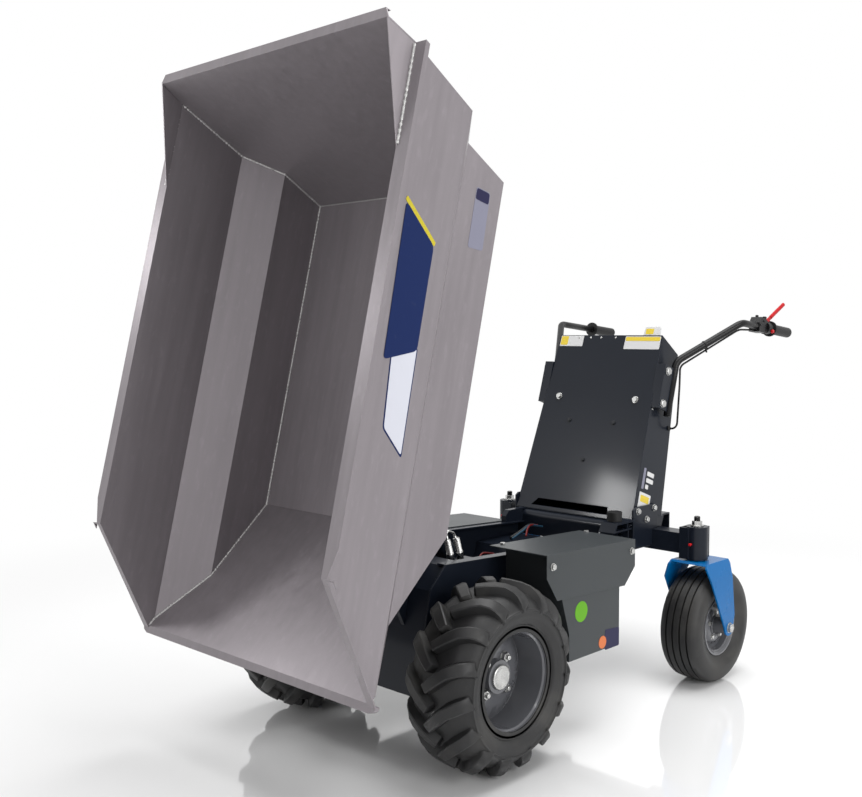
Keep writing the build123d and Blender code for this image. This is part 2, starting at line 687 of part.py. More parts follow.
# wings: thin triangles from the rear wall's raised top down to the rim
with BuildPart() as tub_wings:
    with BuildSketch(tub_section.offset(-REACH / 2)):
        Polygon(
            (RIM_HALF, RIM_HEIGHT),
            (BACK_HALF, BACK_HEIGHT),
            (BACK_HALF - TUB_SHEET, BACK_HEIGHT),
            (RIM_HALF - TUB_SHEET, RIM_HEIGHT),
            align=None,
        )
    extrude(amount=2 * REACH)
    with BuildSketch(tub_side(RIM_HALF)):
        Polygon(
            (rear_x(RIM_HEIGHT, TUB_SHEET), RIM_HEIGHT),
            (rear_x(RIM_HEIGHT, TUB_SHEET) + WING_LENGTH, RIM_HEIGHT),
            (rear_x(BACK_HEIGHT, TUB_SHEET), BACK_HEIGHT),
            align=None,
        )
    extrude(amount=2 * RIM_HALF, mode=Mode.INTERSECT)
    mirror(about=Plane.XZ)
finish(tub_wings, "tub_wings")

# subframe under the floor: two channels, hinge lugs with pins, and the ram's ears
ram_eye = tub_origin + ahead * RAM_EYE_X - upward * RAM_EYE_BELOW
lug_y = HINGE_EAR_Y + HINGE_EAR + HINGE_GAP
with BuildPart() as tub_subframe:
    for side, hand in SIDES:
        near, far = sorted((side * CHANNEL_Y, side * (CHANNEL_Y + CHANNEL_WIDTH)))
        with BuildSketch(tub_section.offset(CHANNEL_START)):
            Polygon((near, 0), (near, -CHANNEL_DEPTH), (far, -CHANNEL_DEPTH), (far, 0), align=None)
        extrude(amount=FLOOR_LENGTH - CHANNEL_START)
        lug_face = side * lug_y if side < 0 else lug_y + HINGE_EAR
        with BuildSketch(tub_side(lug_face)):
            with Locations((FLOOR_LENGTH + HINGE_AHEAD, -HINGE_BELOW)):
                Circle(HINGE_EAR_RADIUS)
            Polygon(
                (FLOOR_LENGTH - 90, 0),
                (FLOOR_LENGTH - 90, -CHANNEL_DEPTH),
                (FLOOR_LENGTH + HINGE_AHEAD - 6, -HINGE_BELOW - HINGE_EAR_RADIUS + 1),
                (FLOOR_LENGTH + HINGE_AHEAD + HINGE_EAR_RADIUS, -HINGE_BELOW),
                (front_x(60), 60),
                (FLOOR_LENGTH, 0),
                align=None,
            )
        extrude(amount=HINGE_EAR)
        pin_face = lug_y if side > 0 else side * HINGE_EAR_Y + 4
        with BuildSketch(tub_side(pin_face)):
            with Locations((FLOOR_LENGTH + HINGE_AHEAD, -HINGE_BELOW)):
                Circle(HINGE_PIN_RADIUS)
        extrude(amount=lug_y - HINGE_EAR_Y + 4)
        ear_face = RAM_EAR_Y + RAM_EAR if side > 0 else -RAM_EAR_Y
        with BuildSketch(tub_side(ear_face)):
            with Locations((RAM_EYE_X, -RAM_EYE_BELOW)):
                Circle(EYE_RADIUS)
            Polygon(
                (RAM_EYE_X - 45, 0),
                (RAM_EYE_X - EYE_RADIUS, -RAM_EYE_BELOW),
                (RAM_EYE_X + EYE_RADIUS, -RAM_EYE_BELOW),
                (RAM_EYE_X + 45, 0),
                align=None,
            )
        extrude(amount=RAM_EAR)
        head_face = RAM_EAR_Y + RAM_EAR + 6 if side > 0 else -RAM_EAR_Y - RAM_EAR
        with BuildSketch(tub_side(head_face)):
            with Locations((RAM_EYE_X, -RAM_EYE_BELOW)):
                RegularPolygon(RAM_PIN_RADIUS * 1.2, 6)
        extrude(amount=6)
    # a cross bar that ties the channels to the ears
    with BuildSketch(tub_section.offset(RAM_EYE_X - CROSS_BAR[0] / 2)):
        Polygon(
            (-CHANNEL_Y, 0),
            (-CHANNEL_Y, -CROSS_BAR[1]),
            (CHANNEL_Y, -CROSS_BAR[1]),
            (CHANNEL_Y, 0),
            align=None,
        )
    extrude(amount=CROSS_BAR[0])
finish(tub_subframe, "tub_subframe")

# ---------------------------------------------------------------- lift ram
ram_base = Vector(behind(RAM_BASE_X), 0, RAM_BASE_Z)
ram_line = ram_eye - ram_base
RAM_OPEN = ram_line.length
lowered_eye = HINGE + Vector(
    -(FLOOR_LENGTH + HINGE_AHEAD - RAM_EYE_X), 0, HINGE_BELOW - RAM_EYE_BELOW
)
RAM_CLOSED = (lowered_eye - ram_base).length
BARREL_START = 36.0
BARREL_END = RAM_CLOSED - EYE_RADIUS - 12
GLAND = 22.0
ram_across = Plane(origin=ram_base, x_dir=(0, 1, 0), z_dir=ram_line.normalized())

with BuildPart() as ram_barrel:
    with BuildSketch(ram_across.offset(BARREL_START)):
        Circle(RAM_BARREL_RADIUS)
    extrude(amount=BARREL_END - BARREL_START)
    with BuildSketch(side_view(EYE_HALF)):
        with Locations((ram_base.X, ram_base.Z)):
            Circle(EYE_RADIUS)
    extrude(amount=2 * EYE_HALF)
    with BuildSketch(ram_across.offset(EYE_RADIUS - 4)):
        Circle(EYE_HALF - 2)
    extrude(amount=BARREL_START - EYE_RADIUS + 6)
    with BuildSketch(side_view(RAM_EAR_Y + RAM_EAR + 4)):
        with Locations((ram_base.X, ram_base.Z)):
            Circle(RAM_PIN_RADIUS)
    extrude(amount=2 * (RAM_EAR_Y + RAM_EAR + 4))
    with BuildSketch(ram_across.offset(BARREL_START + 8)):
        Circle(RAM_BORE)
    extrude(amount=BARREL_END - GLAND - BARREL_START - 8, mode=Mode.SUBTRACT)
    with BuildSketch(ram_across.offset(BARREL_END - GLAND - 1)):
        Circle(ROD_RADIUS + RUNNING_FIT)
    extrude(amount=GLAND + 2, mode=Mode.SUBTRACT)
finish(ram_barrel, "ram_barrel")

with BuildPart() as ram_rod:
    with BuildSketch(ram_across.offset(BARREL_END - GLAND - 3 - PISTON_LENGTH)):
        Circle(RAM_BORE - RUNNING_FIT)
    extrude(amount=PISTON_LENGTH)
    with BuildSketch(ram_across.offset(BARREL_END - GLAND - 4)):
        Circle(ROD_RADIUS)
    extrude(amount=RAM_OPEN - EYE_RADIUS + 4 - BARREL_END + GLAND + 4)
    with BuildSketch(side_view(EYE_HALF)):
        with Locations((ram_eye.X, ram_eye.Z)):
            Circle(EYE_RADIUS)
    extrude(amount=2 * EYE_HALF)
finish(ram_rod, "ram_rod")

# ---------------------------------------------------------------- side rails and nose
WEB = (
    (behind(NOSE_TOP_X), RAIL_TOP),
    (behind(NOSE_KNEE[0]), NOSE_KNEE[1]),
    (behind(NOSE_FOOT_X), RAIL_BOTTOM),
    (behind(TRAY_REAR), RAIL_BOTTOM),
    (behind(TRAY_REAR - TAIL_RUN), RAIL_TAIL_BOTTOM),
    (behind(RAIL_REAR), RAIL_TAIL_BOTTOM),
    (behind(RAIL_REAR), RAIL_TOP_REAR),
)
with BuildPart() as side_rails:
    with BuildSketch(side_view(RAIL_Y)):
        Polygon(*WEB, align=None)
        with Locations((FRONT_AXLE_X, TYRE_RADIUS)):
            Circle(AXLE_TUBE_RADIUS + 0.5, mode=Mode.SUBTRACT)
    extrude(amount=RAIL_SHEET)
    with BuildSketch(side_view(RAIL_Y)):
        Polygon(
            (behind(NOSE_TOP_X), RAIL_TOP - RAIL_SHEET),
            (behind(NOSE_TOP_X), RAIL_TOP),
            (behind(RAIL_REAR), RAIL_TOP_REAR),
            (behind(RAIL_REAR), RAIL_TOP_REAR - RAIL_SHEET),
            align=None,
        )
    extrude(amount=RAIL_SHEET + RAIL_FLANGE)
    mirror(about=Plane.XZ)
finish(side_rails, "side_rails")

INNER_Y = RAIL_Y - RAIL_SHEET
with BuildPart() as nose:
    with BuildSketch(side_view(INNER_Y)):
        Polygon(
            *folded(
                [
                    (behind(NOSE_FOOT_X - RAIL_SHEET), RAIL_BOTTOM),
                    (behind(NOSE_KNEE[0] - RAIL_SHEET), NOSE_KNEE[1] - RAIL_SHEET),
                    (behind(NOSE_TOP_X - RAIL_SHEET), rail_top(NOSE_TOP_X - RAIL_SHEET) - RAIL_SHEET),
                    (behind(NOSE_TOP_X - 80), rail_top(NOSE_TOP_X - 80) - RAIL_SHEET),
                ],
                RAIL_SHEET,
            ),
            align=None,
        )
    extrude(amount=2 * INNER_Y)
    with BuildSketch(Plane.XY.offset(RAIL_TOP - 3 * RAIL_SHEET)):
        with Locations((behind(NOSE_TOP_X - 80), 0)):
            Rectangle(2 * 64, 2 * NOSE_NOTCH_HALF)
    extrude(amount=3 * RAIL_SHEET, mode=Mode.SUBTRACT)
    for side, hand in SIDES:
        face = HINGE_EAR_Y + HINGE_EAR if side > 0 else -HINGE_EAR_Y
        with BuildSketch(side_view(face)):
            with Locations((HINGE.X, HINGE.Z)):
                Circle(HINGE_EAR_RADIUS)
            Polygon(
                (behind(NOSE_TOP_X - 30), RAIL_TOP - RAIL_SHEET),
                (HINGE.X - 7, HINGE.Z + HINGE_EAR_RADIUS - 1),
                (HINGE.X + HINGE_EAR_RADIUS - 2, HINGE.Z - 8),
                (behind(NOSE_KNEE[0] + 12), NOSE_KNEE[1] - 100),
                (behind(NOSE_KNEE[0] - RAIL_SHEET), NOSE_KNEE[1] - RAIL_SHEET),
                (behind(NOSE_TOP_X - RAIL_SHEET), RAIL_TOP - RAIL_SHEET),
                align=None,
            )
            with Locations((HINGE.X, HINGE.Z)):
                Circle(HINGE_PIN_RADIUS + RUNNING_FIT, mode=Mode.SUBTRACT)
        extrude(amount=HINGE_EAR)
finish(nose, "nose_plate")

# ---------------------------------------------------------------- ram cross member and belly pan
with BuildPart() as ram_cross:
    with BuildSketch(side_view(INNER_Y)):
        Polygon(
            *folded(
                [
                    (ram_base.X - 28, RAM_BASE_Z - 45),
                    (ram_base.X - 65, RAM_BASE_Z - 45),
                    (ram_base.X - 65, RAM_BASE_Z + 40),
                    (ram_base.X - 28, RAM_BASE_Z + 40),
                ],
                -CROSS_SHEET,
            ),
            align=None,
        )
    extrude(amount=2 * INNER_Y)
    for face in (RAM_EAR_Y + RAM_EAR, -RAM_EAR_Y):
        with BuildSketch(side_view(face)):
            with Locations((ram_base.X, RAM_BASE_Z)):
                Circle(EYE_RADIUS)
            Polygon(
                (ram_base.X - 62, RAM_BASE_Z - 42),
                (ram_base.X - 62, RAM_BASE_Z + 37),
                (ram_base.X, RAM_BASE_Z + EYE_RADIUS),
                (ram_base.X, RAM_BASE_Z - EYE_RADIUS),
                align=None,
            )
            with Locations((ram_base.X, RAM_BASE_Z)):
                Circle(RAM_PIN_RADIUS + RUNNING_FIT, mode=Mode.SUBTRACT)
        extrude(amount=RAM_EAR)
finish(ram_cross, "ram_cross_member")

# a folded pan under the rails' lower edges, up to the rear sill
PAN_SHEET = 3.0
PAN_FRONT = -96.0
with BuildPart() as belly_pan:
    with BuildSketch(side_view(RAIL_Y)):
        Polygon(
            *folded(
                [
                    (behind(PAN_FRONT), RAIL_BOTTOM),
                    (behind(TRAY_REAR), RAIL_BOTTOM),
                    (behind(TRAY_REAR - TAIL_RUN), RAIL_TAIL_BOTTOM),
                    (behind(RAIL_REAR), RAIL_TAIL_BOTTOM),
                ],
                PAN_SHEET,
            ),
            align=None,
        )
    extrude(amount=2 * RAIL_Y)
finish(belly_pan, "belly_pan")

# ---------------------------------------------------------------- drive axle
with BuildPart() as drive_axle:
    with BuildSketch(side_view(AXLE_TUBE_END)):
        with Locations((FRONT_AXLE_X, TYRE_RADIUS)):
            Circle(AXLE_TUBE_RADIUS)
    extrude(amount=2 * AXLE_TUBE_END)
    with BuildSketch(side_view(GEARBOX_Y + GEARBOX[1] / 2)):
        with Locations((FRONT_AXLE_X - 15, TYRE_RADIUS + 5)):
            RectangleRounded(GEARBOX[0], GEARBOX[2], GEARBOX_CORNER)
    extrude(amount=GEARBOX[1])
    # plates that bolt to the rails' inner faces
    for face in (INNER_Y, -INNER_Y + AXLE_PLATE[2]):
        with BuildSketch(side_view(face)):
            with Locations((FRONT_AXLE_X, TYRE_RADIUS)):
                Rectangle(AXLE_PLATE[0], AXLE_PLATE[1])
        extrude(amount=AXLE_PLATE[2])
    # the motor lies behind the gearbox
    with BuildSketch(Plane.YZ.offset(FRONT_AXLE_X - 80)):
        with Locations((GEARBOX_Y - 25, TYRE_RADIUS + 8)):
            Circle(MOTOR_RADIUS)
    extrude(amount=-MOTOR_LENGTH)
    for face in (AXLE_TUBE_END, -AXLE_TUBE_END + AXLE_BORE):
        with BuildSketch(side_view(face)):
            with Locations((FRONT_AXLE_X, TYRE_RADIUS)):
                Circle(SHAFT_RADIUS + RUNNING_FIT)
        extrude(amount=AXLE_BORE, mode=Mode.SUBTRACT)
finish(drive_axle, "drive_axle")

# ---------------------------------------------------------------- hydraulic pack
PUMP_X = -330.0               # the valve body's middle, from the front axle
PUMP_Y = 95.0
PUMP_Z = 245.0
PUMP_BODY = (56.0, 90.0, 96.0)
PUMP_MOTOR = (43.0, 125.0)    # radius, length
OIL_TANK = (64.0, 94.0, 104.0)
OIL_RISE = 4.0                # the motor's and the tank's middle over the body's
PUMP_FOOT = (50.0, 60.0)
with BuildPart() as hydraulic_unit:
    with Locations((behind(PUMP_X), PUMP_Y, PUMP_Z)):
        Box(*PUMP_BODY)
    with BuildSketch(Plane.YZ.offset(behind(PUMP_X) + PUMP_BODY[0] / 2)):
        with Locations((PUMP_Y, PUMP_Z + OIL_RISE)):
            Circle(PUMP_MOTOR[0])
    extrude(amount=PUMP_MOTOR[1])
    with Locations((behind(PUMP_X) - (PUMP_BODY[0] + OIL_TANK[0]) / 2, PUMP_Y, PUMP_Z + OIL_RISE)):
        Box(*OIL_TANK)
    with BuildSketch(Plane(origin=(behind(PUMP_X), PUMP_Y, RAIL_BOTTOM))):
        Rectangle(*PUMP_FOOT)
    extrude(amount=PUMP_Z - PUMP_BODY[2] / 2 - RAIL_BOTTOM)
finish(hydraulic_unit, "hydraulic_unit")

# a bent steel pipe between two leaning unions on a valve block
UNION_X = (-151.0, -187.0)    # their feet, from the front axle
UNION_Y = 60.0
UNION_BASE = 438.0
UNION_LEAN = 17.0             # degrees forward
UNION_LENGTH = 58.0
UNION_RADIUS = 9.0
UNION_HEX = (11.0, 14.0)      # its corner radius and height
PIPE_RADIUS = 3.5
PIPE_PEAK = (3.0, 27.0)       # from the front union's top: ahead, up
PIPE_SHOULDER = (12.0, 17.0)   # from the rear union's top
PIPE_BENDS = (7.0, 14.0)
PIPE_SOCKET = 3.0
VALVE_BLOCK = (100.0, 32.0)
BLOCK_Y = 46.0
with BuildPart() as valve:
    with Locations((behind(sum(UNION_X) / 2), (INNER_Y + BLOCK_Y) / 2, UNION_BASE - VALVE_BLOCK[1] / 2)):
        Box(VALVE_BLOCK[0], INNER_Y - BLOCK_Y, VALVE_BLOCK[1])
finish(valve, "valve_block")

union_run = Vector(sin(radians(UNION_LEAN)), 0, cos(radians(UNION_LEAN)))
union_feet = [Vector(behind(x), UNION_Y, UNION_BASE) for x in UNION_X]
union_tops = [foot + union_run * UNION_LENGTH for foot in union_feet]
with BuildPart() as pipework:
    for foot in union_feet:
        with BuildSketch(Plane(origin=foot - union_run * UNION_RADIUS, z_dir=union_run)):
            Circle(UNION_RADIUS)
        extrude(amount=UNION_LENGTH + UNION_RADIUS)
        with BuildSketch(Plane(origin=foot + union_run * UNION_RADIUS, z_dir=union_run)):
            RegularPolygon(UNION_HEX[0], 6)
        extrude(amount=UNION_HEX[1])
    with BuildLine() as arch:
        FilletPolyline(
            union_tops[0] - union_run * PIPE_SOCKET,
            union_tops[0] + Vector(PIPE_PEAK[0], 0, PIPE_PEAK[1]),
            union_tops[1] + Vector(PIPE_SHOULDER[0], 0, PIPE_SHOULDER[1]),
            union_tops[1] - union_run * PIPE_SOCKET,
            radius=list(PIPE_BENDS),
        )
    with BuildSketch(Plane(origin=arch.line @ 0, z_dir=arch.line % 0)):
        Circle(PIPE_RADIUS)
    sweep(path=arch.line)
    # the unions stand on the block's top
    with Locations((behind(sum(UNION_X) / 2), UNION_Y, UNION_BASE - UNION_RADIUS)):
        Box(2 * VALVE_BLOCK[0], 4 * UNION_RADIUS, 2 * UNION_RADIUS, mode=Mode.SUBTRACT)
finish(pipework, "pipe_unions")

# ---------------------------------------------------------------- battery boxes
# side, the lid's height at its front and rear, its rear end, and how far its flap hangs
# at the ends.  The left lid stands proud of its rail and the right one lies on it.
BOXES = (
    (1, COVER_TOP[0], COVER_TOP[1], COVER_REAR, 58.0, 73.0),
    (
        -1,
        rail_top(COVER_FRONT) + COVER_SHEET,
        rail_top(FAR_COVER_REAR) + COVER_SHEET,
        FAR_COVER_REAR,
        40.0,
        50.0,
    ),
)
HEM_INSET = (42.0, 48.0)      # the hem's ends, in from the flap's front and rear
with BuildPart() as covers:
    for side, top_front, top_rear, rear, drop_front, drop_rear in BOXES:
        flap_face = COVER_OUTER_Y if side > 0 else -COVER_OUTER_Y + COVER_SHEET
        with BuildSketch(side_view(flap_face)):
            Polygon(
                (behind(COVER_FRONT), top_front),
                (behind(COVER_FRONT), top_front - drop_front),
                (behind(COVER_FRONT - HEM_INSET[0]), COVER_HEM[0]),
                (behind(COVER_REAR + HEM_INSET[1]), COVER_HEM[1]),
                (behind(rear), top_rear - drop_rear),
                (behind(rear), top_rear),
                align=None,
            )
        extrude(amount=COVER_SHEET)
        lid_face = COVER_OUTER_Y if side > 0 else -COVER_INNER_Y
        with BuildSketch(side_view(lid_face)):
            Polygon(
                (behind(COVER_FRONT), top_front - COVER_SHEET),
                (behind(COVER_FRONT), top_front),
                (behind(rear), top_rear),
                (behind(rear), top_rear - COVER_SHEET),
                align=None,
            )
        extrude(amount=COVER_OUTER_Y - COVER_INNER_Y)
finish(covers, "battery_covers")

TRAY_OUTER = COVER_OUTER_Y - COVER_SHEET
TRAY_HEAD = 60.0              # the tray's head ends behind the lid's front edge
with BuildPart() as trays:
    for side, top_front, top_rear, rear, drop_front, drop_rear in BOXES:
        # the line of the tray's walls, from its front top round to its rear top
        step_x = TRAY_REAR if side > 0 else rear + COVER_SHEET
        slope = (top_front - top_rear) / (COVER_FRONT - rear)
        tray_ends = (COVER_FRONT - TRAY_HEAD, step_x)
        tops = [top_front - COVER_SHEET - slope * (COVER_FRONT - x) for x in tray_ends]
        walls = [
            (behind(COVER_FRONT - TRAY_HEAD), tops[0]),
            (behind(COVER_FRONT - TRAY_HEAD), COVER_HEM[0] + 15),
            (behind(TRAY_FRONT), TRAY_BOTTOM + 70),
            (behind(TRAY_FRONT), TRAY_BOTTOM),
            (behind(TRAY_REAR + 12), TRAY_BOTTOM),
            (behind(TRAY_REAR), TRAY_BOTTOM + 12),
        ]
        if side < 0:
            walls = walls + [(behind(TRAY_REAR), FAR_BOX_STEP), (behind(step_x), FAR_BOX_STEP)]
        walls.append((behind(step_x), tops[1]))
        outer_face = TRAY_OUTER if side > 0 else -RAIL_Y
        with BuildSketch(side_view(outer_face)):
            Polygon(*walls, align=None)
        extrude(amount=TRAY_OUTER - RAIL_Y)
        inner = folded(walls, -TRAY_SHEET)[len(walls):][::-1]
        room = [(inner[0][0], COVER_TOP[0])] + inner[1:-1] + [(inner[-1][0], COVER_TOP[0])]
        with BuildSketch(side_view(outer_face - TRAY_SHEET)):
            Polygon(*room, align=None)
        extrude(amount=TRAY_OUTER - RAIL_Y - 2 * TRAY_SHEET, mode=Mode.SUBTRACT)
finish(trays, "battery_trays")

with BuildPart() as batteries:
    with Locations(
        (
            behind((TRAY_FRONT + TRAY_REAR) / 2),
            (TRAY_OUTER + RAIL_Y) / 2,
            TRAY_BOTTOM + TRAY_SHEET + BATTERY_HEIGHT / 2,
        )
    ):
        Box(
            TRAY_FRONT - TRAY_REAR - 2 * TRAY_SHEET - 2 * BATTERY_GAP,
            TRAY_OUTER - RAIL_Y - 2 * TRAY_SHEET - 2 * BATTERY_GAP,
            BATTERY_HEIGHT,
        )
    mirror(about=Plane.XZ)
finish(batteries, "batteries")

# ---------------------------------------------------------------- rear sill with buffer brackets
SILL_BOTTOM = RAIL_TAIL_BOTTOM
SILL_FOLD = (
    (behind(RAIL_REAR - SILL_DEPTH), SILL_TOP),
    (behind(RAIL_REAR), SILL_TOP),
    (behind(RAIL_REAR), SILL_BOTTOM),
    (behind(RAIL_REAR - SILL_DEPTH), SILL_BOTTOM),
)
with BuildPart() as sill:
    with BuildSketch(side_view(SILL_HALF)) as sill_profile:
        Polygon(*folded(SILL_FOLD, -SILL_SHEET), align=None)
        for inset in (0.0, SILL_SHEET):
            corner = (behind(RAIL_REAR) - inset, SILL_TOP - inset, 0)
            fillet(sill_profile.vertices().sort_by_distance(corner)[0], radius=SILL_LIP_RADIUS - inset)
    extrude(amount=2 * SILL_HALF)
finish(sill, "rear_sill")

# the left bracket is a channel with a slanted front and a rib; the right one is a folded cap
BRACKET_SHEET = 5.0
BRACKET_INNER = 178.0
BRACKET_OUTER = 231.0
BRACKET_TOP = BUFFER_TOP - BUFFER_HEIGHT
BRACKET_DEPTH = 26.0
BRACKET_FRONT = (-652.0, -667.0)    # its foot and its top, from the front axle
BRACKET_RIB = -722.0
CAP_FRONT = -660.0
CAP_TOP = SILL_TOP + DECK_SHEET
CAP_BEVEL = 17.0
with BuildPart() as brackets:
    with BuildSketch(side_view(BRACKET_INNER + BRACKET_SHEET)):
        Polygon(
            (behind(BRACKET_FRONT[0]), rail_top(BRACKET_FRONT[0])),
            (behind(BRACKET_FRONT[0]), BRACKET_TOP - BRACKET_DEPTH),
            (behind(BRACKET_FRONT[1]), BRACKET_TOP),
            (behind(RAIL_REAR), BRACKET_TOP),
            (behind(RAIL_REAR), rail_top(RAIL_REAR)),
            align=None,
        )
    extrude(amount=BRACKET_SHEET)
    with BuildSketch(side_view(BRACKET_OUTER)):
        Polygon(
            *folded(
                [
                    (behind(RAIL_REAR), BRACKET_TOP - BRACKET_DEPTH),
                    (behind(BRACKET_FRONT[0]), BRACKET_TOP - BRACKET_DEPTH),
                    (behind(BRACKET_FRONT[1]), BRACKET_TOP),
                    (behind(TOWER_BASE_FRONT), BRACKET_TOP),
                ],
                BRACKET_SHEET,
            ),
            align=None,
        )
        with Locations((behind(BRACKET_RIB), BRACKET_TOP - BRACKET_DEPTH / 2)):
            Rectangle(BRACKET_SHEET, BRACKET_DEPTH - BRACKET_SHEET)
    extrude(amount=BRACKET_OUTER - BRACKET_INNER)
    with BuildSketch(side_view(-BRACKET_INNER)):
        Polygon(
            *folded(
                [
                    (behind(CAP_FRONT), rail_top(CAP_FRONT)),
                    (behind(CAP_FRONT), CAP_TOP - CAP_BEVEL),
                    (behind(CAP_FRONT - CAP_BEVEL), CAP_TOP),
                    (behind(TOWER_BASE_FRONT), CAP_TOP),
                ],
                BRACKET_SHEET,
            ),
            align=None,
        )
    extrude(amount=COVER_INNER_Y - BRACKET_INNER)
    with BuildSketch(side_view(-BRACKET_INNER)):
        Polygon(
            (behind(CAP_FRONT), rail_top(CAP_FRONT)),
            (behind(CAP_FRONT), CAP_TOP - CAP_BEVEL),
            (behind(CAP_FRONT - CAP_BEVEL), CAP_TOP),
            (behind(RAIL_REAR), CAP_TOP),
            (behind(RAIL_REAR), rail_top(RAIL_REAR)),
            align=None,
        )
    extrude(amount=BRACKET_SHEET)
finish(brackets, "buffer_brackets")

with BuildPart() as buffers:
    with BuildSketch(Plane(origin=(behind(BUFFER_X), BUFFER_Y, BRACKET_TOP))):
        Circle(BUFFER_RADIUS)
    extrude(amount=BUFFER_HEIGHT)
finish(buffers, "rubber_buffers")

# ---------------------------------------------------------------- castor beam
BEAM_END = SWIVEL_Y - HOUSING_RADIUS + 2
with BuildPart() as beam:
    with Locations((SWIVEL_X, 0, (BEAM_BOTTOM + BEAM_TOP) / 2)):
        Box(BEAM_WIDTH, 2 * BEAM_END - 2 * BEAM_END_PLATE, BEAM_TOP - BEAM_BOTTOM)
        Box(
            BEAM_WIDTH - 2 * BEAM_WALL,
            2 * BEAM_END,
            BEAM_TOP - BEAM_BOTTOM - 2 * BEAM_WALL,
            mode=Mode.SUBTRACT,
        )
    for side, hand in SIDES:
        plate_y = side * (BEAM_END - BEAM_END_PLATE / 2)
        plate_height = HOUSING_TOP - HOUSING_BOTTOM - 4
        with Locations((SWIVEL_X, plate_y, (HOUSING_BOTTOM + HOUSING_TOP) / 2)):
            Box(2 * SADDLE_X + BEAM_END_PLATE, BEAM_END_PLATE, plate_height)
        for across, reach in ((SADDLE_X, SADDLE_FRONT), (-SADDLE_X, SADDLE_REAR)):
            inner_end = BEAM_END - BEAM_END_PLATE
            middle = side * (inner_end + reach) / 2
            with Locations((SWIVEL_X + across, middle, (HOUSING_BOTTOM + HOUSING_TOP) / 2)):
                Box(BEAM_END_PLATE, reach - inner_end, plate_height)
        with BuildSketch(Plane(origin=(SWIVEL_X, side * SWIVEL_Y, HOUSING_BOTTOM))):
            Circle(HOUSING_RADIUS)
        extrude(amount=HOUSING_TOP - HOUSING_BOTTOM)
        with BuildSketch(Plane(origin=(SWIVEL_X, side * SWIVEL_Y, HOUSING_BOTTOM - 1))):
            Circle(KINGPIN_RADIUS + RUNNING_FIT)
        extrude(amount=HOUSING_TOP - HOUSING_BOTTOM + 2, mode=Mode.SUBTRACT)
finish(beam, "castor_beam")

# ---------------------------------------------------------------- tower base
with BuildPart() as tower_base:
    with BuildSketch(Plane.XY.offset(SILL_TOP)):
        Polygon(
            (behind(TOWER_BASE_FRONT), SILL_HALF),
            (behind(TOWER_BASE_REAR - DECK_TAIL), SILL_HALF),
            (behind(TOWER_BASE_REAR - DECK_TAIL), -SILL_HALF),
            (behind(TOWER_BASE_FRONT), -SILL_HALF),
            align=None,
        )
    extrude(amount=DECK_SHEET)
    # cheeks stand on the beam and reach down in front of it
    with BuildSketch(side_view(SILL_HALF)):
        Polygon(
            (behind(RAIL_REAR - SILL_DEPTH), SILL_TOP),
            (behind(RAIL_REAR - SILL_DEPTH), SILL_BOTTOM),
            (SWIVEL_X + BEAM_WIDTH / 2, SILL_BOTTOM),
            (SWIVEL_X + BEAM_WIDTH / 2, BEAM_TOP),
            (SWIVEL_X - BEAM_WIDTH / 2, BEAM_TOP),
            (behind(TOWER_BASE_REAR - DECK_TAIL), SILL_TOP),
            align=None,
        )
    extrude(amount=CHEEK_SHEET)
    # outer cheeks bolt to the tower's sides
    with BuildSketch(side_view(SILL_HALF + CHEEK_SHEET)):
        Polygon(
            (behind(TOWER_BASE_FRONT), SILL_BOTTOM),
            (behind(TOWER_BASE_FRONT), CHEEK_TOP - 8),
            (behind(TOWER_BASE_FRONT - 12), CHEEK_TOP),
            (behind(CHEEK_REAR + 8), CHEEK_TOP),
            (behind(CHEEK_REAR), SILL_TOP),
            (behind(CHEEK_REAR), BEAM_TOP),
            (SWIVEL_X + BEAM_WIDTH / 2, BEAM_TOP),
            (SWIVEL_X + BEAM_WIDTH / 2, SILL_BOTTOM),
            align=None,
        )
    extrude(amount=CHEEK_SHEET)
    # a loop of strip behind the tower, down to the beam's rear face
    with BuildSketch(side_view(LOOP_Y)):
        Polygon(
            *folded(
                [
                    (behind(TOWER_BASE_REAR - DECK_TAIL), SILL_TOP + DECK_SHEET),
                    (behind(LOOP_REAR), SILL_TOP + DECK_SHEET),
                    (behind(LOOP_REAR), LOOP_BOTTOM),
                    (SWIVEL_X - BEAM_WIDTH / 2, LOOP_BOTTOM),
                ],
                DECK_SHEET,
            ),
            align=None,
        )
    extrude(amount=LOOP_WIDTH)
    mirror(about=Plane.XZ)
finish(tower_base, "tower_base")

# ---------------------------------------------------------------- tower
TOWER_BOTTOM = SILL_TOP + DECK_SHEET
TOWER_SIDE = (
    (behind(TOWER_BASE_FRONT), TOWER_BOTTOM),
    (behind(TOWER_TOP_FRONT[0]), TOWER_TOP_FRONT[1]),
    (behind(TOWER_TOP_REAR[0]), TOWER_TOP_REAR[1]),
    (behind(TOWER_BASE_REAR), TOWER_BOTTOM),
)
TOWER_FACE = (
    (TOWER_BASE_HALF, TOWER_BOTTOM),
    (TOWER_TOP_HALF, TOWER_TOP_FRONT[1]),
    (-TOWER_TOP_HALF, TOWER_TOP_FRONT[1]),
    (-TOWER_BASE_HALF, TOWER_BOTTOM),
)
with BuildPart() as tower_block:
    with BuildSketch(side_view(REACH / 2)):
        Polygon(*TOWER_SIDE, align=None)
    extrude(amount=REACH)
    with BuildSketch(Plane.YZ.offset(-REACH)):
        Polygon(*TOWER_FACE, align=None)
    extrude(amount=2 * REACH, mode=Mode.INTERSECT)
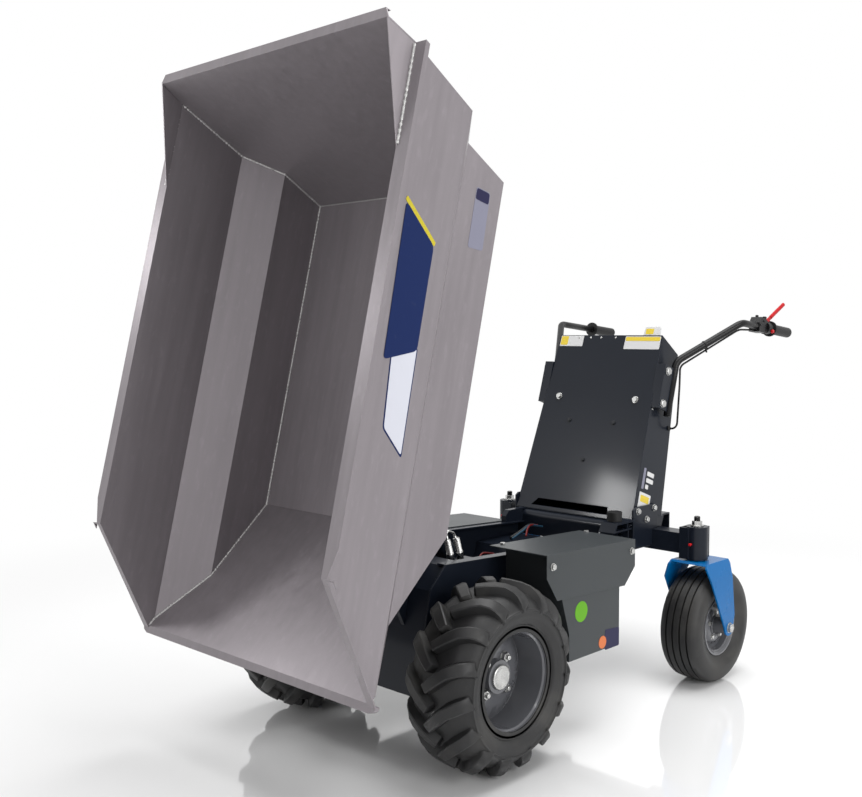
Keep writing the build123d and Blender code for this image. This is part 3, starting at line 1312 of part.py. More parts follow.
with BuildPart() as tower:
    add(tower_block.part)
    rear_face = tower.faces().sort_by(Axis.X)[0]
    base_face = tower.faces().sort_by(Axis.Z)[0]
    offset(amount=-TOWER_SHEET, openings=[rear_face, base_face], kind=Kind.INTERSECTION)
    with BuildSketch(Plane.YZ.offset(-REACH)):
        Polygon(
            (SLOT_ENDS[1], SLOT_LOW),
            (SLOT_ENDS[1] - SLOT_SLANT[1], SLOT_HIGH),
            (SLOT_ENDS[0] + SLOT_SLANT[0], SLOT_HIGH),
            (SLOT_ENDS[0], SLOT_LOW),
            align=None,
        )
    extrude(amount=2 * REACH, mode=Mode.SUBTRACT)
finish(tower, "tower_shell")

with BuildPart() as tower_back:
    with BuildSketch(side_view(REACH / 2)):
        Polygon(
            *folded(
                [
                    (behind(TOWER_BASE_REAR), TOWER_BOTTOM),
                    (behind(TOWER_TOP_REAR[0]), TOWER_TOP_REAR[1]),
                ],
                TOWER_SHEET,
            ),
            align=None,
        )
    extrude(amount=REACH)
    with BuildSketch(Plane.YZ.offset(-REACH)):
        Polygon(*TOWER_FACE, align=None)
    extrude(amount=2 * REACH, mode=Mode.INTERSECT)
finish(tower_back, "tower_back")

# ---------------------------------------------------------------- handlebars
with BuildPart() as bars:
    with BuildLine() as bar_line:
        FilletPolyline(
            *[(behind(x), y, z) for x, y, z in (BAR_FOOT, BAR_KNEE, BAR_ELBOW, BAR_END)],
            radius=BAR_BEND,
        )
    with BuildSketch(Plane(origin=bar_line.line @ 0, z_dir=bar_line.line % 0)):
        Circle(BAR_RADIUS)
    sweep(path=bar_line.line)
    mirror(about=Plane.XZ)
finish(bars, "handlebars")

grip_run = (Vector(*BAR_END) - Vector(*BAR_ELBOW)).normalized()
grip_start = Vector(behind(BAR_END[0]), BAR_END[1], BAR_END[2]) - grip_run * GRIP_LENGTH
with BuildPart() as grips:
    with BuildSketch(Plane(origin=grip_start, z_dir=grip_run)):
        Circle(GRIP_RADIUS)
        Circle(BAR_RADIUS, mode=Mode.SUBTRACT)
    extrude(amount=GRIP_LENGTH)
    with BuildSketch(Plane(origin=grip_start + grip_run * GRIP_LENGTH, z_dir=grip_run)):
        Circle(GRIP_RADIUS)
    extrude(amount=GRIP_CAP)
    with BuildSketch(Plane(origin=grip_start, z_dir=grip_run)):
        Circle(GRIP_FLANGE_RADIUS)
        Circle(BAR_RADIUS, mode=Mode.SUBTRACT)
    extrude(amount=GRIP_FLANGE)
    mirror(about=Plane.XZ)
finish(grips, "hand_grips")

# folded straps that carry the bars' lower runs on the tower's sides
STRAP_SHEET = 6.0
STRAP_LENGTH = 136.0
STRAP_WIDTH = 50.0
STRAP_START = 13.0
STRAP_BOLTS = (30.0, 131.0)   # along the bar from its foot
BOLT_AHEAD = 42.0             # from the bar's axis
BOLT_RADIUS = 6.0
BOLT_HEAD = 7.0
foot = Vector(behind(BAR_FOOT[0]), BAR_FOOT[1], BAR_FOOT[2])
lean = (Vector(*BAR_KNEE) - Vector(*BAR_FOOT)).normalized()
strap_plane = Plane(origin=foot, x_dir=(lean.Z, 0, -lean.X), z_dir=(0, -1, 0))
with BuildPart() as bar_brackets:
    with BuildSketch(strap_plane.offset(-STRAP_SHEET / 2)):
        with Locations((BAR_RADIUS - 1 + STRAP_WIDTH / 2, STRAP_START + STRAP_LENGTH / 2)):
            Rectangle(STRAP_WIDTH, STRAP_LENGTH)
    extrude(amount=STRAP_SHEET)
    # its front edge folds in to the tower's side
    with BuildSketch(strap_plane.offset(-STRAP_SHEET / 2)):
        with Locations((BAR_RADIUS - 1 + STRAP_WIDTH - STRAP_SHEET / 2, STRAP_START + STRAP_LENGTH / 2)):
            Rectangle(STRAP_SHEET, STRAP_LENGTH)
    extrude(amount=BAR_FOOT[1] - TOWER_TOP_HALF)
    for along in STRAP_BOLTS:
        spot = foot + lean * along + strap_plane.x_dir * BOLT_AHEAD
        bolt_plane = Plane(origin=spot, x_dir=(1, 0, 0), z_dir=(0, -1, 0))
        with BuildSketch(bolt_plane):
            Circle(BOLT_RADIUS)
        extrude(amount=spot.Y - TOWER_TOP_HALF)
        with BuildSketch(bolt_plane):
            RegularPolygon(BOLT_RADIUS * 1.7, 6)
        extrude(amount=-STRAP_SHEET / 2 - BOLT_HEAD)
    add(tower_block.part, mode=Mode.SUBTRACT)
    add(bars.part, mode=Mode.SUBTRACT)
    mirror(about=Plane.XZ)
finish(bar_brackets, "bar_brackets")

# ---------------------------------------------------------------- controls on the left bar
bar_up = Vector(grip_run.Z, 0, -grip_run.X)


def bar_view(y):
    """The upright plane along the left bar, y off its axis: it draws the distance from
    the grip's flange towards the elbow and the height over the axis, and extrudes to -Y."""
    return Plane(origin=grip_start + Vector(0, y, 0), x_dir=grip_run * -1, z_dir=(0, -1, 0))


COLLAR = (8.0, 36.0, 19.0)    # its two ends from the flange, and its radius
PAD = (8.0, 24.0, 20.0, 8.0)  # the flat under the lever: its ends, height and half width
POD_Y = (12.0, -24.0)
POD_OUTLINE = ((35, -18), (90, -18), (90, 12), (78, 30), (48, 26), (35, 20))
LEVER_WIDTH = 6.0
LEVER_OUTLINE = ((22, 20), (22, 28), (4, 38), (-90, 94), (-96, 88), (-4, 30), (9, 20))
with BuildPart() as control_pod:
    collar_end = grip_start - grip_run * COLLAR[0]
    with BuildSketch(Plane(origin=collar_end, x_dir=(0, 1, 0), z_dir=grip_run * -1)):
        Circle(COLLAR[2])
    extrude(amount=COLLAR[1] - COLLAR[0])
    with BuildSketch(bar_view(PAD[3])):
        Polygon((PAD[0], 0), (PAD[1], 0), (PAD[1], PAD[2]), (PAD[0], PAD[2]), align=None)
    extrude(amount=2 * PAD[3])
    with BuildSketch(bar_view(POD_Y[0])):
        Polygon(*POD_OUTLINE, align=None)
    extrude(amount=POD_Y[0] - POD_Y[1])
    with BuildSketch(Plane(origin=grip_start, x_dir=(0, 1, 0), z_dir=grip_run * -1)):
        Circle(BAR_RADIUS)
    extrude(amount=2 * GRIP_LENGTH, mode=Mode.SUBTRACT)
finish(control_pod, "control_pod")

with BuildPart() as lever:
    with BuildSketch(bar_view(LEVER_WIDTH / 2)):
        Polygon(*LEVER_OUTLINE, align=None)
    extrude(amount=LEVER_WIDTH)
finish(lever, "control_lever")

# the control's cable runs under the bar, behind its lower run and into the tower's side
CABLE_EXIT = (-7.0, -13.0)    # on the pod's front face: off the bar's axis, over it
CABLE_RUN = (
    (-1165.0, 338.0, 1046.0),
    (-1006.0, 228.0, 934.0),
    (-982.0, 241.0, 873.0),
    (-978.0, 236.0, 742.0),
)
CABLE_BENDS = (40.0, 30.0, 60.0, 20.0)
GROMMET = (7.0, 6.0)          # radius, length
pod_front = grip_start - grip_run * POD_OUTLINE[1][0]
cable_start = pod_front + bar_up * CABLE_EXIT[1] + Vector(0, CABLE_EXIT[0], 0)
cable_end = Vector(behind(CABLE_RUN[-1][0]), TOWER_TOP_HALF, CABLE_RUN[-1][2])
with BuildPart() as cable:
    with BuildLine() as cable_line:
        FilletPolyline(
            cable_start,
            *[Vector(behind(x), y, z) for x, y, z in CABLE_RUN],
            cable_end,
            radius=list(CABLE_BENDS),
        )
    with BuildSketch(Plane(origin=cable_start, z_dir=cable_line.line % 0)):
        Circle(CABLE_RADIUS)
    sweep(path=cable_line.line)
    with BuildSketch(Plane(origin=cable_end, z_dir=(0, 1, 0))):
        Circle(GROMMET[0])
    extrude(amount=(TOWER_BASE_HALF - TOWER_TOP_HALF) / 2 + GROMMET[1])
    add(tower_block.part, mode=Mode.SUBTRACT)
    add(control_pod.part, mode=Mode.SUBTRACT)
finish(cable, "control_cable")
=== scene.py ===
"""Dress the walk-behind tipping barrow: finishes, tyres, welds, fasteners and markings.

All lengths are in metres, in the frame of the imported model: +X forward, +Y to the
operator's left and +Z up.
"""

import json
import logging
import math
from collections.abc import Callable, Sequence
from dataclasses import dataclass
from enum import Enum
from typing import Any

import bmesh
import bpy
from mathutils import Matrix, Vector


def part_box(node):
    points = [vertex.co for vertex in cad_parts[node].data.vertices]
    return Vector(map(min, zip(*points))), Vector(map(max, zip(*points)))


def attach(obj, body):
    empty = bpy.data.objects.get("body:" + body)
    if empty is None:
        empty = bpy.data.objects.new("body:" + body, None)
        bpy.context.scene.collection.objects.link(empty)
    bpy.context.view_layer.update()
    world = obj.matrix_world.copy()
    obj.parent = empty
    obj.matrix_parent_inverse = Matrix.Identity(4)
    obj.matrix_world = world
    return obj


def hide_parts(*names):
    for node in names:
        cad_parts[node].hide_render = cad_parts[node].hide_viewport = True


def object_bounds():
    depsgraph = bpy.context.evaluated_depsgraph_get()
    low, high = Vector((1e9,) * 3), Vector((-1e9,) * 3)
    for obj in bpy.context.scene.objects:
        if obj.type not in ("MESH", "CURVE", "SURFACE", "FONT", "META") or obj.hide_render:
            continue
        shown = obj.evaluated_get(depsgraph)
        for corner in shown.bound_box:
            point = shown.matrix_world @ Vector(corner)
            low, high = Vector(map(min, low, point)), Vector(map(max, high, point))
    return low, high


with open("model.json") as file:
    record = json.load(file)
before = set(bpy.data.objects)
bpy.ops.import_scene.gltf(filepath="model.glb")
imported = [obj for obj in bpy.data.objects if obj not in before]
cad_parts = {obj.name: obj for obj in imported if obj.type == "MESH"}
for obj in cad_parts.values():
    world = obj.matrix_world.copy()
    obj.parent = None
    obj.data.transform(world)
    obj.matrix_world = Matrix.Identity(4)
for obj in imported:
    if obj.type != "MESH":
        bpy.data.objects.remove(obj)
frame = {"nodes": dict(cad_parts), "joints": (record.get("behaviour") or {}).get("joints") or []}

CAD_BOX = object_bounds()
log = logging.getLogger("barrow")

Number = float | int
Colour = tuple[float, float, float]
Profile = tuple[tuple[float, float], ...]

FORWARD = Vector((1.0, 0.0, 0.0))
LEFTWARD = Vector((0.0, 1.0, 0.0))
UPWARD = Vector((0.0, 0.0, 1.0))


# ------------------------------------------------------------------ shader arithmetic
class Signal:
    """A shader socket that takes part in Python arithmetic."""

    def __init__(self, graph: "Graph", socket: bpy.types.NodeSocket) -> None:
        """Hold one output socket of a graph."""
        self.graph = graph
        self.socket = socket

    def _with(
        self, operation: str, first: "Signal | Number", second: "Signal | Number"
    ) -> "Signal":
        """Combine two sides in the node that suits their kind.

        Args:
            operation: ADD, SUBTRACT or MULTIPLY.
            first: The left side.
            second: The right side.

        Returns:
            The result's socket.
        """
        kinds = {side.socket.type for side in (first, second) if isinstance(side, Signal)}
        if "RGBA" in kinds:
            return self.graph.mix(1.0, first, second, blend=operation)
        kind = "ShaderNodeVectorMath" if "VECTOR" in kinds else "ShaderNodeMath"
        return self.graph.node(kind, {"operation": operation}, {0: first, 1: second})

    def __add__(self, other: "Signal | Number") -> "Signal":
        """Return self + other."""
        return self._with("ADD", self, other)

    def __radd__(self, other: Number) -> "Signal":
        """Return other + self."""
        return self._with("ADD", other, self)

    def __sub__(self, other: "Signal | Number") -> "Signal":
        """Return self - other."""
        return self._with("SUBTRACT", self, other)

    def __rsub__(self, other: Number) -> "Signal":
        """Return other - self."""
        return self._with("SUBTRACT", other, self)

    def __mul__(self, other: "Signal | Number") -> "Signal":
        """Return self * other."""
        return self._with("MULTIPLY", self, other)

    def __rmul__(self, other: Number) -> "Signal":
        """Return other * self."""
        return self._with("MULTIPLY", other, self)

    def between(self, low: float, high: float) -> "Signal":
        """Fade smoothly from 0 at low to 1 at high.

        Args:
            low: The value that gives 0.
            high: The value that gives 1.

        Returns:
            The faded value.
        """
        return self.graph.node(
            "ShaderNodeMapRange",
            {"interpolation_type": "SMOOTHSTEP"},
            {"Value": self, "From Min": low, "From Max": high},
        )


class Graph:
    """Builds the nodes of one material or world."""

    # the Mix node's sockets when it mixes colours
    MIX_FACTOR, MIX_FIRST, MIX_SECOND, MIX_RESULT = 0, 6, 7, 2

    def __init__(self, tree: bpy.types.NodeTree) -> None:
        """Start on an emptied node tree."""
        self.tree = tree
        tree.nodes.clear()

    def feed(self, socket: bpy.types.NodeSocket, value: Any) -> None:
        """Link a signal to a socket, or set the socket's own value.

        Args:
            socket: The input to feed.
            value: A signal, a number, a vector or a colour.
        """
        if isinstance(value, Signal):
            self.tree.links.new(value.socket, socket)
        elif socket.type == "RGBA" and len(value) == 3:
            socket.default_value = (*value, 1.0)
        else:
            socket.default_value = value

    def node(
        self,
        kind: str,
        settings: dict[str, Any] | None = None,
        values: dict[str | int, Any] | None = None,
        output: str | int = 0,
    ) -> Signal | None:
        """Add any node.

        Args:
            kind: The node's type.
            settings: Its own settings; stops are (place, colour) pairs of a ramp.
            values: What each input socket gets, by name or number.
            output: The output socket that is wanted.

        Returns:
            That output socket, or None for a node with none.
        """
        made = self.tree.nodes.new(kind)
        for name, value in (settings or {}).items():
            if name == "stops":
                ramp = made.color_ramp.elements
                while len(ramp) < len(value):
                    ramp.new(0.5)
                for element, (place, colour) in zip(ramp, value):
                    element.position = place
                    element.color = (*colour, 1.0)
            else:
                setattr(made, name, value)
        for name, value in (values or {}).items():
            self.feed(made.inputs[name], value)
        return Signal(self, made.outputs[output]) if made.outputs else None

    def mix(
        self, factor: Signal | Number, first: Any, second: Any, blend: str = "MIX"
    ) -> Signal:
        """Mix two colours.

        Args:
            factor: How much of the second shows.
            first: A colour, a number or a signal.
            second: The same, for the other side.
            blend: The way they mix.

        Returns:
            The mixed colour.
        """
        low, high = (
            (side,) * 3 if isinstance(side, (int, float)) else side for side in (first, second)
        )
        return self.node(
            "ShaderNodeMix",
            {"data_type": "RGBA", "blend_type": blend},
            {self.MIX_FACTOR: factor, self.MIX_FIRST: low, self.MIX_SECOND: high},
            output=self.MIX_RESULT,
        )

    def grey(self, value: Signal, warmth: float = 0.0) -> Signal:
        """Turn a value into a grey colour.

        Args:
            value: Its brightness.
            warmth: The share of blue that it lacks.

        Returns:
            The colour.
        """
        blue = value * (1 - warmth) if warmth else value
        return self.node(
            "ShaderNodeCombineColor", values={"Red": value, "Green": value, "Blue": blue}
        )

    def place(
        self, scale: Sequence[float] = (1, 1, 1), turn: Sequence[float] = (0, 0, 0)
    ) -> Signal:
        """Give the point on the object, turned and scaled.

        Args:
            scale: The scale along each axis.
            turn: The turn about each axis, in radians.

        Returns:
            The coordinate.
        """
        point = self.node("ShaderNodeTexCoord", output="Object")
        turned = self.node("ShaderNodeMapping", values={"Vector": point, "Rotation": turn})
        return self.node("ShaderNodeMapping", values={"Vector": turned, "Scale": scale})

    def noise(self, scale: float, detail: float = 3.0, at: Signal | None = None) -> Signal:
        """Add cloudy noise from 0 to 1.

        Args:
            scale: How many clouds fit in a metre.
            detail: How many finer layers it has.
            at: The coordinate; the object's own point if None.

        Returns:
            The noise value.
        """
        return self.node(
            "ShaderNodeTexNoise",
            values={"Vector": at or self.place(), "Scale": scale, "Detail": detail},
        )

    def bump(self, height: Signal, strength: float, depth: float) -> Signal:
        """Turn a height into a bumped normal.

        Args:
            height: The height signal.
            strength: How strongly it shows, up to 1.
            depth: The height of 1, in metres.

        Returns:
            The normal.
        """
        return self.node(
            "ShaderNodeBump", values={"Height": height, "Strength": strength, "Distance": depth}
        )


# ------------------------------------------------------------------ finishes
@dataclass(frozen=True)
class Finish:
    """A plain finish; each kind of surface adds its own detail in dress."""

    name: str
    slot: str
    colour: Colour
    roughness: float = 0.45
    metallic: float = 0.0
    coat: float = 0.0
    coat_roughness: float = 0.08
    specular: float = 0.5

    def dress(self, graph: Graph) -> dict[str, Any]:
        """Return the shader inputs that vary over the surface: none here."""
        return {}

    def material(self) -> bpy.types.Material:
        """Build the finish's material on the first call.

        Returns:
            The material.
        """
        name = f"finish_{self.name}"
        made = bpy.data.materials.get(name)
        if made:
            return made
        made = bpy.data.materials.new(name)
        made.use_nodes = True
        graph = Graph(made.node_tree)
        inputs = {
            "Base Color": self.colour,
            "Roughness": self.roughness,
            "Metallic": self.metallic,
            "Coat Weight": self.coat,
            "Coat Roughness": self.coat_roughness,
            "Specular IOR Level": self.specular,
        }
        inputs.update(self.dress(graph))
        shader = graph.node("ShaderNodeBsdfPrincipled", values=inputs)
        graph.node("ShaderNodeOutputMaterial", values={"Surface": shader})
        made.diffuse_color = (*self.colour, 1.0)
        return made


@dataclass(frozen=True)
class Paint(Finish):
    """Sprayed paint: slightly cloudy colour over a faint orange-peel skin."""

    cloud: float = 0.12
    cloud_scale: float = 5.0
    gloss_spread: float = 0.07
    peel: float = 0.15
    peel_scale: float = 420.0
    peel_depth: float = 0.0004

    def dress(self, graph: Graph) -> dict[str, Any]:
        """Vary the colour, the gloss and the skin.

        Args:
            graph: The material's graph.

        Returns:
            The inputs by name.
        """
        clouds = graph.noise(self.cloud_scale, 4.0)
        skin = graph.noise(self.peel_scale, 2.0)
        shade = graph.grey(clouds * (2 * self.cloud) + (1 - self.cloud))
        return {
            "Base Color": graph.mix(1.0, self.colour, shade, blend="MULTIPLY"),
            "Roughness": clouds * (2 * self.gloss_spread) + (self.roughness - self.gloss_spread),
            "Normal": graph.bump(skin, self.peel, self.peel_depth),
        }


@dataclass(frozen=True)
class TubPaint(Finish):
    """Silver-grey paint on rolled sheet: streaks along the tub, scuffs and mill clouds."""

    tip: float = 0.0
    streak: float = 0.26
    cloud: float = 0.24
    scuff: float = 0.14
    warmth: float = 0.01
    scuff_shade: float = 1.5
    grain: float = 0.12
    grain_depth: float = 0.0006

    def dress(self, graph: Graph) -> dict[str, Any]:
        """Vary the colour and gloss along the sheet's rolling direction.

        Args:
            graph: The material's graph.

        Returns:
            The inputs by name.
        """
        lie = (0.0, -self.tip, 0.0)
        along = graph.place(scale=(1.0, 16.0, 16.0), turn=lie)
        streaks = graph.noise(3.0, 5.0, at=along)
        clouds = graph.noise(2.2, 3.0)
        scuffs = graph.noise(26.0, 9.0, at=graph.place(scale=(1.0, 3.0, 3.0), turn=lie))
        marks = scuffs.between(0.55, 0.72) * self.scuff
        middle = 1 - (self.streak + self.cloud) / 2
        tone = graph.grey(streaks * self.streak + clouds * self.cloud + middle, self.warmth)
        colour = graph.mix(1.0, self.colour, tone, blend="MULTIPLY")
        pale = tuple(min(1.0, part * self.scuff_shade) for part in self.colour)
        skin = graph.noise(160.0, 4.0, at=along)
        return {
            "Base Color": graph.mix(marks, colour, pale),
            "Roughness": streaks * 0.2 + marks * 0.15 + (self.roughness - 0.1),
            "Normal": graph.bump(skin, self.grain, self.grain_depth),
        }


@dataclass(frozen=True)
class Rubber(Finish):
    """Moulded rubber: a fine matt grain with a little grey dust."""

    grain: float = 0.3
    grain_depth: float = 0.0005
    dust: float = 0.25
    dust_colour: Colour = (0.11, 0.105, 0.095)

    def dress(self, graph: Graph) -> dict[str, Any]:
        """Vary the grain and the dust.

        Args:
            graph: The material's graph.

        Returns:
            The inputs by name.
        """
        grain = graph.noise(700.0, 3.0)
        dust = graph.noise(9.0, 7.0).between(0.45, 0.8) * self.dust
        return {
            "Base Color": graph.mix(dust, self.colour, self.dust_colour),
            "Roughness": dust * 0.5 + grain * 0.12 + (self.roughness - 0.06),
            "Normal": graph.bump(grain, self.grain, self.grain_depth),
        }


@dataclass(frozen=True)
class Plated(Finish):
    """Zinc plate or chrome: bright metal with faint cloudy patches."""

    cloud: float = 0.15
    dim: float = 0.72

    def dress(self, graph: Graph) -> dict[str, Any]:
        """Vary the brightness and the gloss.

        Args:
            graph: The material's graph.

        Returns:
            The inputs by name.
        """
        clouds = graph.noise(60.0, 4.0)
        patches = clouds.between(0.35, 0.7) * (4 * self.cloud)
        dull = tuple(part * self.dim for part in self.colour)
        return {
            "Base Color": graph.mix(patches, self.colour, dull),
            "Roughness": clouds * (2 * self.cloud) + (self.roughness - self.cloud),
            "Normal": graph.bump(graph.noise(900.0, 2.0), 0.08, 0.0002),
        }


@dataclass(frozen=True)
class Weld(Finish):
    """A painted weld bead: fine uneven skin over the ripples; its colour is lighter than the paint
    around it, with lighter flecks, as painted highlight for the glints on the ripples.
    """

    # how much lighter the flecks of painted highlight are
    brighter: float = 1.45

    def dress(self, graph: Graph) -> dict[str, Any]:
        """Vary the colour, with flecks of painted highlight, and the skin.

        Args:
            graph: The material's graph.

        Returns:
            The inputs by name.
        """
        grain = graph.noise(450.0, 4.0)
        # flecks lighter than the bead's colour: painted highlight for glints on the ripples
        bright = tuple(min(1.0, part * self.brighter) for part in self.colour)
        return {
            "Base Color": graph.mix(grain.between(0.4, 0.7), self.colour, bright),
            "Normal": graph.bump(grain, 0.5, 0.0008),
        }


@dataclass(frozen=True)
class Decal(Finish):
    """A printed film: an even colour that is a little worn and scratched."""

    wear: float = 0.35

    def dress(self, graph: Graph) -> dict[str, Any]:
        """Vary the wear.

        Args:
            graph: The material's graph.

        Returns:
            The inputs by name.
        """
        wear = graph.noise(55.0, 8.0).between(0.60, 0.80) * self.wear
        faded = tuple(0.85 * part + 0.03 for part in self.colour)
        return {
            "Base Color": graph.mix(wear, self.colour, faded),
            "Roughness": wear * 0.4 + self.roughness,
        }


TIP_JOINT = next(joint for joint in frame["joints"] if joint["name"] == "tub_tip")
TIP = math.radians(TIP_JOINT["range_deg"][1])
SWIVEL_X = next(j["pos_m"][0] for j in frame["joints"] if j["name"] == "castor_left_swivel")

TUB_GREY = TubPaint(
    "tub_grey", "tub_grey", (0.238, 0.217, 0.233), 0.38, 0.45, specular=0.30, tip=TIP
)
# lighter than the tub's paint: a painted highlight for the glints on the weld beads
TUB_WELD_PAINTED_HIGHLIGHT = Weld("tub_weld", "tub_grey", (0.42, 0.415, 0.41), 0.34, 0.5)
CHASSIS = Paint(
    "chassis_black", "chassis_black", (0.0076, 0.0102, 0.0166), 0.34,
    coat=0.18, coat_roughness=0.11, specular=0.13,
)
COVER = Paint("cover_grey", "cover_grey", (0.040, 0.045, 0.048), 0.40, coat=0.04, specular=0.22)
FORK_BLUE = Paint("fork_blue", "fork_blue", (0.0, 0.118, 0.345), 0.28, coat=0.16, specular=0.14)
RIM_GREY = Paint(
    "rim_grey", "rim_grey", (0.100, 0.102, 0.112), 0.22, coat=0.45, specular=0.30, peel=0.08
)
CASTING = Paint(
    "cast_grey", "hydraulic_grey", (0.022, 0.024, 0.027), 0.5,
    specular=0.2, peel=0.5, peel_scale=150.0,
)
ZINC = Plated("zinc", "zinc", (0.52, 0.52, 0.51), 0.27, 1.0)
CHROME = Plated("chrome_rod", "chrome_rod", (0.78, 0.78, 0.79), 0.12, 1.0, cloud=0.04)
TYRE = Rubber(
    "tyre_rubber", "tyre_rubber", (0.0095, 0.0095, 0.0100), 0.47, specular=0.40, dust=0.32
)
GRIP = Rubber(
    "grip_rubber", "rubber", (0.0080, 0.0080, 0.0085), 0.46, specular=0.25, grain=0.5, dust=0.08
)
PLASTIC = Paint(
    "black_plastic", "black_plastic", (0.0060, 0.0060, 0.0066), 0.34,
    specular=0.22, cloud=0.05, peel=0.3, peel_scale=900.0,
)
RED = Paint(
    "red_plastic", "red_plastic", (0.42, 0.004, 0.007), 0.34, specular=0.2, cloud=0.05, peel=0.05
)
BATTERY = Paint("battery_case", "battery_case", (0.02, 0.02, 0.023), 0.5, cloud=0.05)
WIRE_BLUE = Paint(
    "wire_blue", "black_plastic", (0.010, 0.040, 0.070), 0.45, specular=0.3, cloud=0.05
)
WIRE_RED = Paint("wire_red", "red_plastic", (0.12, 0.006, 0.006), 0.45, specular=0.3, cloud=0.05)
FILM_BLUE = Decal("film_blue", "tub_grey", (0.003, 0.014, 0.078), 0.34, specular=0.15)
FILM_WHITE = Decal("film_white", "tub_grey", (0.56, 0.57, 0.63), 0.36, specular=0.2)
FILM_YELLOW = Decal("film_yellow", "tub_grey", (0.50, 0.42, 0.03), 0.36, specular=0.2)
FILM_SILVER = Decal("film_silver", "tub_grey", (0.20, 0.20, 0.26), 0.32, specular=0.3)
FILM_GREEN = Decal("film_green", "cover_grey", (0.11, 0.34, 0.012), 0.36, specular=0.15)
FILM_ORANGE = Decal("film_orange", "cover_grey", (0.58, 0.15, 0.04), 0.36, specular=0.3)
FILM_NAVY = Decal("film_navy", "cover_grey", (0.018, 0.017, 0.055), 0.34, specular=0.15)
PAPER = Decal("paper_white", "chassis_black", (0.62, 0.62, 0.62), 0.40)
PAPER_YELLOW = Decal("paper_yellow", "chassis_black", (0.70, 0.52, 0.03), 0.40)


# ------------------------------------------------------------------ places and forms
class Side(Enum):
    """The machine's two sides, as the operator sees them."""

    LEFT = 1
    RIGHT = -1

    @property
    def hand(self) -> str:
        """Return the side's name as the nodes spell it."""
        return self.name.lower()

    @property
    def outward(self) -> Vector:
        """Return the direction away from the machine's middle."""
        return LEFTWARD * self.value


@dataclass(frozen=True)
class Place:
    """A local frame: an origin and three unit directions."""

    origin: Vector
    along: Vector
    across: Vector
    up: Vector

    def at(self, along: float, across: float, up: float) -> Vector:
        """Return the point at these local distances."""
        return self.origin + self.along * along + self.across * across + self.up * up


def turns(count: int) -> list[float]:
    """Return evenly spaced angles round a circle, in radians."""
    return [math.tau * step / count for step in range(count)]


def spoke(angle: float) -> Vector:
    """Return the unit direction at an angle round a wheel's axle, in radians."""
    return Vector((math.cos(angle), 0.0, math.sin(angle)))


def oblong(near: tuple[float, float], far: tuple[float, float]) -> Profile:
    """Return the four corners of a rectangle from two opposite ones."""
    return (near, (near[0], far[1]), far, (far[0], near[1]))


def rounded(corners: Sequence[Vector], radius: float, steps: int = 5) -> list[Vector]:
    """Round a flat outline's corners.

    Args:
        corners: The outline's corners.
        radius: How far along each side a rounding reaches.
        steps: How many pieces each rounding gets.

    Returns:
        The rounded outline.
    """
    line = []
    for i, corner in enumerate(corners):
        before, after = corners[i - 1] - corner, corners[(i + 1) % len(corners)] - corner
        start = corner + before.normalized() * min(radius, before.length / 2)
        end = corner + after.normalized() * min(radius, after.length / 2)
        for step in range(steps + 1):
            t = step / steps
            line.append(start * (1 - t) ** 2 + corner * (2 * t * (1 - t)) + end * t**2)
    return line


def smooth_line(points: Sequence[Sequence[float]], steps: int) -> list[Vector]:
    """Draw a smooth line through points.

    Args:
        points: The points to pass through.
        steps: How many pieces each stretch gets.

    Returns:
        Points along a Catmull-Rom curve.
    """
    knots = [Vector(point) for point in points]
    knots = [knots[0] * 2 - knots[1], *knots, knots[-1] * 2 - knots[-2]]
    line = []
    for before, start, end, after in zip(knots, knots[1:], knots[2:], knots[3:]):
        for step in range(steps):
            t = step / steps
            line.append(
                (
                    start * 2
                    + (end - before) * t
                    + (before * 2 - start * 5 + end * 4 - after) * t**2
                    + (start * 3 - before - end * 3 + after) * t**3
                )
                / 2
            )
    return [*line, knots[-2]]


